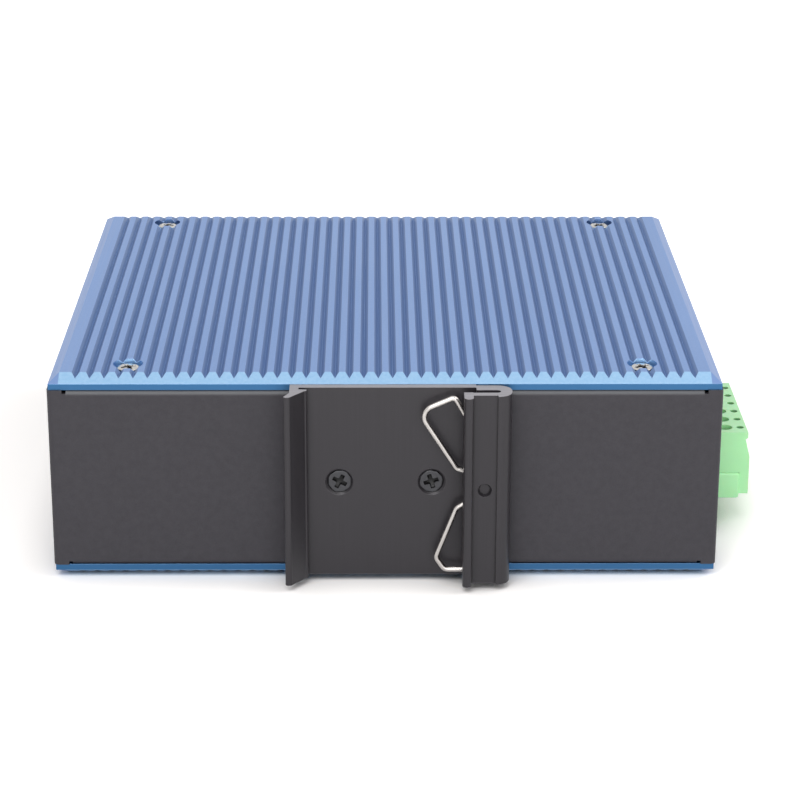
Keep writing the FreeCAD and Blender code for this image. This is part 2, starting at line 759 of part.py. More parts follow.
def flatScrew(label, length):
    """Countersunk screw along Z, its head flush with Z = 0."""
    body = newBody(label)
    headR = cell("flat_head_diameter") / 2
    turn(body, "Revolution", f"{label}_turned", "Z", (0, 0, 0), [
        (0, -length), (shankR, -length), (shankR, shankR - headR), (headR, 0), (0, 0)])
    crossRecess(body, f"{label}_recess", asSize(0))
    return body


def clinchNut(label):
    """Round clinch nut along Z, its face on Z = 0 and its barrel below."""
    body = newBody(label)
    high = cell("nut_height")
    extrude(body, "Pad", f"{label}_barrel", "Z", -high, 0,
            circles=[(0, 0, cell("nut_diameter") / 2), (0, 0, boreR)])
    return body


def makeFasteners():
    coverScrew = panScrew("cover_screw", cell("head_diameter"), cell("cover_screw_length"))
    panelScrew = panScrew("panel_screw", cell("head_diameter"), cell("panel_screw_length"))
    boardScrew = panScrew("board_screw", cell("head_diameter"), cell("board_screw_length"))
    earthScrew = panScrew("earth_screw", cell("earth_head"), cell("panel_screw_length"))
    clipScrew = flatScrew("clip_screw", cell("clip_screw_length"))
    nut = clinchNut("nut")
    seatZ = topZ + coverT - cell("counterbore_depth")
    nodes = []
    nodes.append(group("cover_screws_upper", coverScrew, "up", [(x, y, seatZ) for x, y in coverSpots]))
    nodes.append(group("cover_screws_lower", coverScrew, "down", [(x, y, -seatZ) for x, y in coverSpots]))
    innerZ = topZ - sheetT
    nodes.append(group("cover_nuts_upper", nut, "up", [(x, y, innerZ) for x, y in coverSpots]))
    nodes.append(group("cover_nuts_lower", nut, "down", [(x, y, -innerZ) for x, y in coverSpots]))
    panelY = frontY - cell("panel_screw_setback")
    tabX = sideX - sheetT * 2 - cell("panel_gap")
    panelZs = [-cell("panel_tab_half") / 2, cell("panel_tab_half") / 2]
    right = group("panel_screws_right", panelScrew, "right", [(sideX, panelY, z) for z in panelZs])
    left = group("panel_screws_left", panelScrew, "left", [(-sideX, panelY, z) for z in panelZs])
    nodes.append(join("front_panel_screws", [right, left]))
    right = group("panel_nuts_right", nut, "right", [(tabX, panelY, z) for z in panelZs])
    left = group("panel_nuts_left", nut, "left", [(-tabX, panelY, z) for z in panelZs])
    nodes.append(join("front_panel_nuts", [right, left]))
    spread = cell("clip_screw_spread") / 2
    headY = (cell("countersink_diameter") - cell("flat_head_diameter")) / 2
    turned = sizes["clip_screw_turn"]
    nodes.append(group("clip_screws", clipScrew, "rearward", [(-spread, headY, 0, turned), (spread, headY, 0, -turned)]))
    nodes.append(group("clip_nuts", nut, "rearward", [(-spread, rearY + sheetT, 0), (spread, rearY + sheetT, 0)]))
    nodes.append(group("ground_screw", earthScrew, "right", [(sideX + cell("washer_thickness"), earthY, earthZ)]))
    nodes.append(group("ground_nut", nut, "right", [(sideX - sheetT, earthY, earthZ)]))
    nodes.append(group("board_screws", boardScrew, "up", [(x, y, boardTop) for x, y in boardSpots]))
    return nodes


def join(label, parts):
    """Several groups as one node."""
    node = doc.addObject("Part::Compound", label)
    node.Label = label
    node.Links = parts
    return node


def makeWasher():
    """Toothed washer under the earth screw."""
    body = newBody("ground_washer")
    extrude(body, "Pad", "ground_washer_ring", "X", sideX, sideX + cell("washer_thickness"),
            circles=[(earthY, earthZ, cell("washer_diameter") / 2), (earthY, earthZ, passR)])
    return body


def makeBoard():
    """Board with clearance holes for its screws and for the cover nuts, and holes for the header pins."""
    body = newBody("circuit_board")
    halfX = sideX - cell("board_side_gap")
    block(body, "laminate", -halfX, halfX, rearY + cell("board_rear_gap"), frontY - cell("board_front_gap"),
          boardLow, boardTop)
    holes = [(x, y, passR) for x, y in boardSpots]
    holes += [(x, y, cell("board_nut_clearance") / 2) for x, y in coverSpots]
    extrude(body, "Pocket", "board_holes", "Z", boardLow, boardTop, circles=holes)
    half = cell("pin") / 2 + cell("thread_gap")
    slots = [rectangle(pinLegX - half, pinLegX + half, y - half, y + half) for y in poleYs]
    extrude(body, "Pocket", "pin_holes", "Z", boardLow, boardTop, slots)
    return body


def makeStandoffs():
    """Six hexagonal standoffs from the lower cover to the board."""
    pattern = newBody("standoff")
    across = cell("standoff_flats") / 2
    corner = across / math.cos(math.radians(30))
    half = corner / 2
    extrude(pattern, "Pad", "standoff_hex", "Z", 0, cell("standoff_height"), [[
        (corner, 0), (half, across), (-half, across), (-corner, 0), (-half, -across), (half, -across)]],
        circles=[(0, 0, boreR)])
    return group("board_standoffs", pattern, "up", [(x, y, -topZ) for x, y in boardSpots])


def portColumns():
    """Middle of each port column of the stacked jack."""
    columns = []
    for column in range(int(sizes["port_count"])):
        columns.append(jackLeft + cell("jack_side") / 2 + cell("port_pitch") * (column + 0.5))
    return columns


def portRows():
    """Low, high and latch edge of the two rows: the lower row's latch is below, the upper row's above."""
    lowRow = boardTop + cell("port_floor") + cell("latch_height")
    highRow = boardTop + cell("jack_height") - cell("port_floor") - cell("latch_height")
    return [(lowRow, lowRow + cell("port_height"), boardTop + cell("port_floor")),
            (highRow - cell("port_height"), highRow, boardTop + cell("jack_height") - cell("port_floor"))]


def makeJack():
    """Stacked jack: moulded housing with eight stepped ports, sheet shield, and contact wires."""
    skin = cell("jack_skin")
    backY = jackBack
    topJack = boardTop + cell("jack_height")
    housing = newBody("jack_housing")
    block(housing, "jack_block", jackLeft + skin, jackRight - skin, backY + skin, jackFront - skin, boardTop,
          topJack - skin)
    halfPort = cell("port_width") / 2
    halfLatch = cell("latch_width") / 2
    outlines = []
    for middle in portColumns():
        lower, upper = portRows()
        outlines.append([
            (middle - halfLatch, lower[2]), (middle + halfLatch, lower[2]), (middle + halfLatch, lower[0]),
            (middle + halfPort, lower[0]), (middle + halfPort, lower[1]), (middle - halfPort, lower[1]),
            (middle - halfPort, lower[0]), (middle - halfLatch, lower[0])])
        outlines.append([
            (middle - halfPort, upper[0]), (middle + halfPort, upper[0]), (middle + halfPort, upper[1]),
            (middle + halfLatch, upper[1]), (middle + halfLatch, upper[2]), (middle - halfLatch, upper[2]),
            (middle - halfLatch, upper[1]), (middle - halfPort, upper[1])])
    extrude(housing, "Pocket", "ports", "Y", jackFront - cell("port_depth"), jackFront - skin, outlines)
    shield = newBody("jack_shield")
    block(shield, "shield_block", jackLeft, jackRight, backY, jackFront, boardTop, topJack)
    hollow(shield, "shield_inside", jackLeft + skin, jackRight - skin, backY + skin, jackFront - skin,
           boardTop, topJack - skin)
    extrude(shield, "Pocket", "shield_ports", "Y", jackFront - skin, jackFront, outlines)
    contact = newBody("contact")
    thick = cell("contact_width")
    half = thick / 2
    run = cell("contact_run")
    extrude(contact, "Pad", "contact_wire", "X", -half, half, [[
        (-thick, 0), (0, 0), (-run, -cell("contact_drop")), (-run - thick, -cell("contact_drop"))]])
    places = []
    turned = []
    for middle in portColumns():
        for step in range(8):
            across = middle + cell("contact_pitch") * (step - 3.5)
            places.append((across, jackFront - cell("contact_set"), portRows()[0][1]))
            turned.append((across, jackFront - cell("contact_set"), portRows()[1][0]))
    lowContacts = group("contacts_lower", contact, "up", places)
    highContact = newBody("contact_upper")
    extrude(highContact, "Pad", "contact_upper_wire", "X", -half, half, [[
        (0, 0), (-thick, 0), (-run - thick, cell("contact_drop")), (-run, cell("contact_drop"))]])
    highContacts = group("contacts_upper", highContact, "up", turned)
    return [housing, shield, join("jack_contacts", [lowContacts, highContacts])]


def makeCage(name, left):
    """Sheet cage for an optical module with its edge connector inside."""
    wall = cell("cage_wall")
    right = left + cell("cage_width")
    backY = cageFront - cell("cage_length")
    high = boardTop + cell("cage_height")
    cage = newBody(f"sfp_cage_{name}")
    block(cage, f"cage_{name}_box", left, right, backY, cageFront, boardTop, high)
    hollow(cage, f"cage_{name}_inside", left + wall, right - wall, backY + wall, cageFront,
           boardTop + wall, high - wall)
    edge = (cell("cage_width") - cell("socket_width")) / 2
    floorY = backY + wall + cell("socket_length") + cell("plug_gap")
    hollow(cage, f"cage_{name}_floor", left + wall, right - wall, backY + wall, floorY,
           boardTop, boardTop + wall)
    socket = newBody(f"sfp_connector_{name}")
    block(socket, f"connector_{name}_block", left + edge, right - edge, backY + wall,
          backY + wall + cell("socket_length"), boardTop, boardTop + cell("socket_height"))
    middle = boardTop + cell("socket_height") / 2
    half = cell("socket_slot") / 2
    side = edge + cell("socket_slot_side")
    hollow(socket, f"connector_{name}_slot", left + side, right - side, backY + wall + cell("socket_slot_back"),
           backY + wall + cell("socket_length"), middle - half, middle + half)
    return [cage, socket]


def makeLights():
    """Three board lights and one moulded light pipe with an arm to the panel for each."""
    half = cell("light_width") / 2
    rise = boardTop + cell("light_rise")
    lampY = frontY - cell("light_setback")
    pipeLow = boardTop + cell("led_height") + cell("light_gap")
    nodes = []
    pipe = newBody("light_pipe")
    for number, across in enumerate(lightXs, 1):
        extrude(pipe, "Pad", f"pipe_arm_{number}", "X", across - half, across + half, [[
            (lampY - half, pipeLow), (lampY + half, pipeLow), (lampY + half, rise - half),
            (frontY, rise - half), (frontY, rise + half), (lampY, rise + half), (lampY - half, rise)]])
    block(pipe, "pipe_bridge", lightXs[0] - half, lightXs[-1] + half, lampY + half, frontY - sheetT * 4,
          rise - half, rise)
    nodes.append(pipe)
    for name, across in zip(("power", "run", "fault"), lightXs):
        lamp = newBody(f"led_{name}")
        base = cell("led_side") / 2
        lens = cell("led_lens") / 2
        shoulder = boardTop + cell("led_height") / 2
        block(lamp, f"led_{name}_base", across - base, across + base, lampY - base, lampY + base, boardTop, shoulder)
        block(lamp, f"led_{name}_lens", across - lens, across + lens, lampY - lens, lampY + lens, shoulder,
              boardTop + cell("led_height"))
        nodes.append(lamp)
    return nodes


def makeTerminal():
    """Six-pole header on the board, its pins, and the plug with its screws, clamps and sockets."""
    wall = cell("header_wall")
    outX = sideX + cell("header_out")
    backX = outX - cell("header_length")
    header = newBody("terminal_header")
    block(header, "header_block", backX, outX, terminalNear, terminalFar, boardTop, headerTop)
    hollow(header, "header_tray", backX + wall, outX, terminalNear + wall, terminalFar - wall,
           boardTop + wall, headerTop)
    pinZ = boardTop + cell("pin_rise")
    half = cell("pin") / 2
    extrude(header, "Pocket", "header_pin_holes", "X", backX, backX + wall,
            [rectangle(y - half, y + half, pinZ - half, pinZ + half) for y in poleYs])
    pin = newBody("header_pin")
    extrude(pin, "Pad", "header_pin_bent", "Y", -half, half, [[
        (pinLegX - half, boardLow - cell("pin_below")), (pinLegX + half, boardLow - cell("pin_below")),
        (pinLegX + half, pinZ - half), (backX + wall + cell("pin_length"), pinZ - half),
        (backX + wall + cell("pin_length"), pinZ + half), (pinLegX - half, pinZ + half)]])
    pins = group("header_pins", pin, "up", [(0, y, 0) for y in poleYs])

    plug = newBody("terminal_plug")
    faceX = sideX + cell("plug_out")
    innerX = faceX - cell("plug_length")
    gap = cell("plug_gap")
    noseX = outX + gap
    noseLow = plugTop - cell("plug_face_height")
    extrude(plug, "Pad", "plug_body", "Y", terminalNear, terminalFar, [[
        (innerX, plugLow), (noseX, plugLow), (noseX, noseLow), (faceX, noseLow),
        (faceX, plugTop - cell("plug_lip_drop") - cell("plug_slant")),
        (faceX - cell("plug_notch_back"), plugTop - cell("plug_lip_drop") - gap),
        (faceX - cell("plug_lip_back"), plugTop - cell("plug_lip_drop")),
        (faceX - cell("plug_lip_back"), plugTop), (innerX, plugTop)]])
    insertX = backX + wall + gap
    insertLow = boardTop + wall + gap
    block(plug, "plug_insert", insertX, noseX, terminalNear + wall + gap, terminalFar - wall - gap,
          insertLow, plugLow)
    driverX = sideX + cell("driver_out")
    testX = sideX + cell("test_out")
    holes = [(driverX, y, cell("driver_hole") / 2) for y in poleYs]
    extrude(plug, "Pocket", "driver_holes", "Z", plugTop - cell("driver_depth"), plugTop, circles=holes)
    extrude(plug, "Pocket", "test_holes", "Z", plugTop - cell("driver_depth"), plugTop,
            circles=[(testX, y, cell("test_hole") / 2) for y in poleYs])
    clampHalf = cell("clamp_width") / 2
    clampX = driverX - cell("clamp_length") / 2
    clampEnd = driverX + cell("clamp_length") / 2
    clampHigh = plugTop - cell("driver_depth")
    clampLow = clampHigh - cell("clamp_height")
    room = cell("clamp_gap")
    hollows = [rectangle(y - clampHalf - room, y + clampHalf + room, clampLow - room, clampHigh) for y in poleYs]
    extrude(plug, "Pocket", "clamp_rooms", "X", clampX - room, clampEnd + room, hollows)
    entryHalf = cell("entry_width") / 2
    entryMiddle = clampLow + cell("clamp_wall") + cell("entry_height") / 2
    entryRise = cell("entry_height") / 2
    extrude(plug, "Pocket", "wire_entries", "X", clampEnd, faceX, [
        rectangle(y - entryHalf, y + entryHalf, entryMiddle - entryRise, entryMiddle + entryRise) for y in poleYs])
    socketHalf = cell("contact_socket") / 2
    pinTip = backX + wall + cell("pin_length")
    extrude(plug, "Pocket", "socket_rooms", "X", insertX, pinTip + gap, [
        rectangle(y - socketHalf, y + socketHalf, pinZ - socketHalf, pinZ + socketHalf) for y in poleYs])

    socket = newBody("socket")
    bore = half + cell("thread_gap") * 2
    extrude(socket, "Pad", "socket_sleeve", "X", insertX, pinTip + gap, [
        rectangle(-socketHalf, socketHalf, pinZ - socketHalf, pinZ + socketHalf),
        rectangle(-bore, bore, pinZ - bore, pinZ + bore)])
    sockets = group("plug_sockets", socket, "up", [(0, y, 0) for y in poleYs])
    clamp = newBody("clamp")
    wallC = cell("clamp_wall")
    extrude(clamp, "Pad", "clamp_frame", "X", clampX, clampEnd, [
        rectangle(-clampHalf, clampHalf, clampLow, clampHigh - room),
        rectangle(wallC - clampHalf, clampHalf - wallC, clampLow + wallC, clampHigh - room - wallC)])
    screwR = cell("clamp_screw") / 2
    extrude(clamp, "Pocket", "clamp_thread", "Z", clampHigh - room - wallC, clampHigh - room,
            circles=[(driverX, 0, screwR)])
    clamps = group("plug_cages", clamp, "up", [(0, y, 0) for y in poleYs])
    screw = newBody("clamp_screw")
    headR = cell("driver_hole") / 2 - cell("thread_gap") * 2
    turned = screwR - cell("thread_gap") * 2
    length = cell("clamp_screw_length")
    head = cell("clamp_head")
    turn(screw, "Revolution", "clamp_screw_turned", "Z", (driverX, 0, clampHigh), [
        (0, -length), (turned, -length), (turned, 0), (headR, 0), (headR, head), (0, head)])
    slotHalf = cell("clamp_slot") / 2
    extrude(screw, "Pocket", "clamp_screw_slot", "Z", clampHigh + head / 2, clampHigh + head,
            [rectangle(driverX - headR, driverX + headR, -slotHalf, slotHalf)])
    screws = group("plug_screws", screw, "up", [(0, y, 0) for y in poleYs])
    return [header, pins, plug, sockets, clamps, screws]


def makeComponents():
    """Switch chip under the board with its pad to the lower cover, and the parts on top."""
    nodes = []
    half = cell("chip_side") / 2
    chipY = (rearY + frontY) / 2
    chip = newBody("switch_chip")
    block(chip, "chip_body", -half, half, chipY - half, chipY + half, boardLow - cell("chip_height"), boardLow)
    pad = newBody("thermal_pad")
    block(pad, "pad_sheet", -half, half, chipY - half, chipY + half, -topZ, boardLow - cell("chip_height"))
    nodes += [chip, pad]
    for number, middle in enumerate(portColumns(), 1):
        module = newBody(f"magnetics_{number}")
        reach = cell("magnetics_width") / 2
        block(module, f"magnetics_{number}_case", middle - reach, middle + reach,
              magneticsNear, magneticsFar, boardTop, boardTop + cell("magnetics_height"))
        nodes.append(module)
    coil = newBody("power_inductor")
    coilX = sideX - cell("terminal_setback")
    reach = cell("inductor_side") / 2
    extrude(coil, "Pad", "inductor_case", "Z", boardTop, boardTop + cell("inductor_height"), [
        rounded(coilX - reach, coilX + reach, terminalNear, terminalNear + reach * 2, cell("inductor_round"))])
    nodes.append(coil)
    for step, name in enumerate(("left", "right")):
        can = newBody(f"capacitor_{name}")
        reach = cell("capacitor_base") / 2
        canX = coilX - cell("inductor_side") * (2 - step)
        shoulder = boardTop + cell("capacitor_base_height")
        block(can, f"capacitor_{name}_base", canX - reach, canX + reach, terminalNear, terminalNear + reach * 2,
              boardTop, shoulder)
        extrude(can, "Pad", f"capacitor_{name}_can", "Z", shoulder, boardTop + cell("capacitor_height"),
                circles=[(canX, terminalNear + reach, cell("capacitor_diameter") / 2)])
        nodes.append(can)
    return nodes


nodes = [finnedCover("finned_cover_upper")]
lowerCover = finnedCover("finned_cover_lower")
lowerCover.Placement = FreeCAD.Placement(FreeCAD.Vector(), facings["down"])
nodes += [lowerCover, makeChassis(), makeFrontPanel(), makeClip(), makeSpring(), makeWasher(), makeBoard(),
          makeStandoffs()]
nodes += makeFasteners() + makeJack()
for cageName, cageLeft in zip(("left", "right"), cageLefts):
    nodes += makeCage(cageName, cageLeft)
nodes += makeLights() + makeTerminal() + makeComponents()

doc.recompute()
for item in doc.Objects:
    if "Invalid" in item.State or "Error" in item.State:
        raise RuntimeError(f"{item.Name} failed: {item.State}")
for node in nodes:
    if node.Shape.isNull() or not node.Shape.isValid():
        raise RuntimeError(f"{node.Label} has no valid shape")

os.makedirs("parts", exist_ok=True)
for node in nodes:
    node.Shape.exportStep(f"parts/{node.Label}.step")
print(len(nodes), "nodes,", sum(len(node.Shape.Solids) for node in nodes), "solids")
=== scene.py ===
import math
import bpy
import numpy as np
from mathutils import Matrix, Vector


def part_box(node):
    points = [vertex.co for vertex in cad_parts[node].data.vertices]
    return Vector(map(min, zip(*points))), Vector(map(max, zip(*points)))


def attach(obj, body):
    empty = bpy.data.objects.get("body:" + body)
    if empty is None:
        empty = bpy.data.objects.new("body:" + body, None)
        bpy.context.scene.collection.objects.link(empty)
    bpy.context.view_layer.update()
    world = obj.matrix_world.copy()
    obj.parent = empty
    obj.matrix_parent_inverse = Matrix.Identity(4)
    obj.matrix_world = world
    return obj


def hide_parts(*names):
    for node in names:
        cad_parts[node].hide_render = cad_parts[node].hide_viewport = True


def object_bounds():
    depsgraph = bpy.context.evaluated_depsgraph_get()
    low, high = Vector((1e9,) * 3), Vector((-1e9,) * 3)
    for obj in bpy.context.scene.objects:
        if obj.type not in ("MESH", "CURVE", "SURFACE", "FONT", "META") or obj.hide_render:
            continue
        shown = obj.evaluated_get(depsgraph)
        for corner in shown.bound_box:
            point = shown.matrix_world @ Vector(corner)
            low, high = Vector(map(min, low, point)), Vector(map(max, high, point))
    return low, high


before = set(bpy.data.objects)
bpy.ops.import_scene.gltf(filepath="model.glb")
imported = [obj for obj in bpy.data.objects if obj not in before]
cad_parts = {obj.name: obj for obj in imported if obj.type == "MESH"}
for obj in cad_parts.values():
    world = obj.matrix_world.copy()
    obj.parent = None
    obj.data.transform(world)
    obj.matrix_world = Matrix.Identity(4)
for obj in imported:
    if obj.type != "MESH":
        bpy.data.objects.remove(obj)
cadLow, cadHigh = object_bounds()
print("frame loaded:", len(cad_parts), "parts")

mm = 0.001
floorLevel = cadLow.z
sharpAngle = math.radians(38)  # edges that turn further than this stay sharp


# Meshes from arrays

def addMesh(name, points, faces, material, body):
    # faces is a list of index arrays, each with three or four corners to a row
    corners = [row for group in faces for row in group.tolist()]
    mesh = bpy.data.meshes.new(name)
    mesh.from_pydata(points.tolist(), [], corners)
    mesh.polygons.foreach_set("use_smooth", [True] * len(mesh.polygons))
    mesh.set_sharp_from_angle(angle=sharpAngle)
    mesh.update()
    mesh.materials.append(material)
    piece = bpy.data.objects.new(name, mesh)
    bpy.context.scene.collection.objects.link(piece)
    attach(piece, body)
    return piece


def gridFaces(rows, columns):
    # quads between neighbouring rings of points, closed round each ring
    row, column = np.meshgrid(np.arange(rows - 1), np.arange(columns), indexing="ij")
    following = (column + 1) % columns
    return np.stack([row * columns + column, row * columns + following,
                     (row + 1) * columns + following, (row + 1) * columns + column], -1).reshape(-1, 4)


def fan(hub, ring, flip=False):
    # triangles from a hub point to a closed ring of points
    following = np.roll(ring, -1)
    first, second = (following, ring) if flip else (ring, following)
    return np.stack([np.full(len(ring), hub), first, second], -1)


def joinParts(parts):
    # several (points, list of face arrays) as one
    counts = np.cumsum([0] + [len(points) for points, faces in parts])
    points = np.concatenate([points for points, faces in parts])
    return points, [group + count for (own, faces), count in zip(parts, counts) for group in faces]


# Materials

def newMaterial(name, **sockets):
    material = bpy.data.materials.new(name)
    material.use_nodes = True
    shader = material.node_tree.nodes["Principled BSDF"]
    for socket, value in sockets.items():
        shader.inputs[socket.replace("_", " ")].default_value = value
    return material, material.node_tree, shader


def objectPoint(tree, scale=(1, 1, 1)):
    # Object coordinates, stretched: a small scale along an axis draws the pattern out along it.
    place = tree.nodes.new("ShaderNodeTexCoord")
    mapping = tree.nodes.new("ShaderNodeMapping")
    mapping.inputs["Scale"].default_value = scale
    tree.links.new(place.outputs["Object"], mapping.inputs["Vector"])
    return mapping.outputs["Vector"]


def noise(tree, scale, detail=3.0, roughness=0.55):
    # A cloudy pattern from 0 to 1, whose grains are about 1 / scale metres across along each axis.
    field = tree.nodes.new("ShaderNodeTexNoise")
    field.inputs["Scale"].default_value = 1.0
    field.inputs["Detail"].default_value = detail
    field.inputs["Roughness"].default_value = roughness
    tree.links.new(objectPoint(tree, scale), field.inputs["Vector"])
    return field.outputs["Fac"]


def remap(tree, value, low, high, toLow, toHigh):
    # A straight line from (low, toLow) to (high, toHigh), held level outside them.
    node = tree.nodes.new("ShaderNodeMapRange")
    for socket, number in zip(("From Min", "From Max", "To Min", "To Max"), (low, high, toLow, toHigh)):
        node.inputs[socket].default_value = number
    tree.links.new(value, node.inputs["Value"])
    return node.outputs["Result"]


def mixColor(tree, factor, first, second):
    node = tree.nodes.new("ShaderNodeMix")
    node.data_type = "RGBA"
    for socket, value in ((0, factor), (6, first), (7, second)):
        if isinstance(value, bpy.types.NodeSocket):
            tree.links.new(value, node.inputs[socket])
        else:
            node.inputs[socket].default_value = value if socket == 0 else (*value, 1)
    return node.outputs[2]


def arithmetic(tree, kind, first, second=0.0):
    node = tree.nodes.new("ShaderNodeMath")
    node.operation = kind
    for socket, value in enumerate((first, second)):
        if isinstance(value, bpy.types.NodeSocket):
            tree.links.new(value, node.inputs[socket])
        else:
            node.inputs[socket].default_value = value
    return node.outputs[0]


def bump(tree, height, strength, distance, base=None):
    node = tree.nodes.new("ShaderNodeBump")
    node.inputs["Strength"].default_value = strength
    node.inputs["Distance"].default_value = distance
    tree.links.new(height, node.inputs["Height"])
    if base is not None:
        tree.links.new(base, node.inputs["Normal"])
    return node.outputs["Normal"]


def softEdge(tree, radius):
    # Normals rounded over near each edge, as a broken edge catches the light.
    node = tree.nodes.new("ShaderNodeBevel")
    node.samples = 4
    node.inputs["Radius"].default_value = radius
    return node.outputs["Normal"]


def openness(tree, distance, samples=6):
    # 1 on an open surface, falling to 0 in a corner or hole that is narrow for the distance.
    node = tree.nodes.new("ShaderNodeAmbientOcclusion")
    node.samples = samples
    node.inputs["Distance"].default_value = distance
    return node.outputs["AO"]


def edgeMask(tree, rounded):
    # 1 near an edge and 0 on the flat: how far the rounded normal leans from the true one.
    surface = tree.nodes.new("ShaderNodeNewGeometry")
    dot = tree.nodes.new("ShaderNodeVectorMath")
    dot.operation = "DOT_PRODUCT"
    tree.links.new(rounded, dot.inputs[0])
    tree.links.new(surface.outputs["True Normal"], dot.inputs[1])
    return remap(tree, dot.outputs["Value"], 0.995, 0.88, 0.0, 1.0)


def heightAlong(tree, axis):
    # One of the object's own coordinates, in metres.
    split = tree.nodes.new("ShaderNodeSeparateXYZ")
    tree.links.new(objectPoint(tree), split.inputs[0])
    return split.outputs[axis]


def within(tree, axis, middle, half, blur):
    # 1 where the object's own coordinate lies within half of the middle, and 0 beyond.
    value = heightAlong(tree, axis)
    distance = arithmetic(tree, "ABSOLUTE", arithmetic(tree, "SUBTRACT", value, middle))
    return remap(tree, distance, half - blur, half + blur, 1.0, 0.0)


def distanceFrom(tree, spot):
    # Distance in X and Y from the nearest of four points, (+-x, middle +- y).
    x, middle, y = spot
    across = arithmetic(tree, "SUBTRACT", arithmetic(tree, "ABSOLUTE", heightAlong(tree, 0)), x)
    along = arithmetic(tree, "ABSOLUTE", arithmetic(tree, "SUBTRACT", heightAlong(tree, 1), middle))
    along = arithmetic(tree, "SUBTRACT", along, y)
    square = arithmetic(tree, "ADD", arithmetic(tree, "MULTIPLY", across, across),
                        arithmetic(tree, "MULTIPLY", along, along))
    return arithmetic(tree, "SQRT", square)


# Lit and shaded copies of one anodised blue: the groove, groove foot, end bevel and side colours carry painted shade,
# and the bevel and bore colours carry a painted highlight.
anodised = {
    "land": (0.215, 0.345, 0.630), "landDeep": (0.165, 0.285, 0.560), "groove": (0.106, 0.190, 0.390),
    "grooveFoot": (0.150, 0.260, 0.480), "bevel": (0.300, 0.510, 0.750), "bevelGrit": (0.400, 0.600, 0.820),
    "side": (0.045, 0.143, 0.300), "shadedEndBevel": (0.205, 0.315, 0.580), "bore": (0.330, 0.560, 0.860),
    "boreRadius": 3.1 * mm, "boreX": 53.0 * mm, "boreY": 8.7 * mm,
    "bevelRun": 3.1 * mm, "bevelSide": 2.1 * mm, "sideRise": 1.3 * mm, "grooveDepth": 0.85 * mm,
    "lineEvery": 0.30 * mm, "lineLength": 30 * mm, "edge": 0.13 * mm, "rough": 0.36,
    "wornEdge": (0.40, 0.55, 0.82), "wear": 0.30,
}


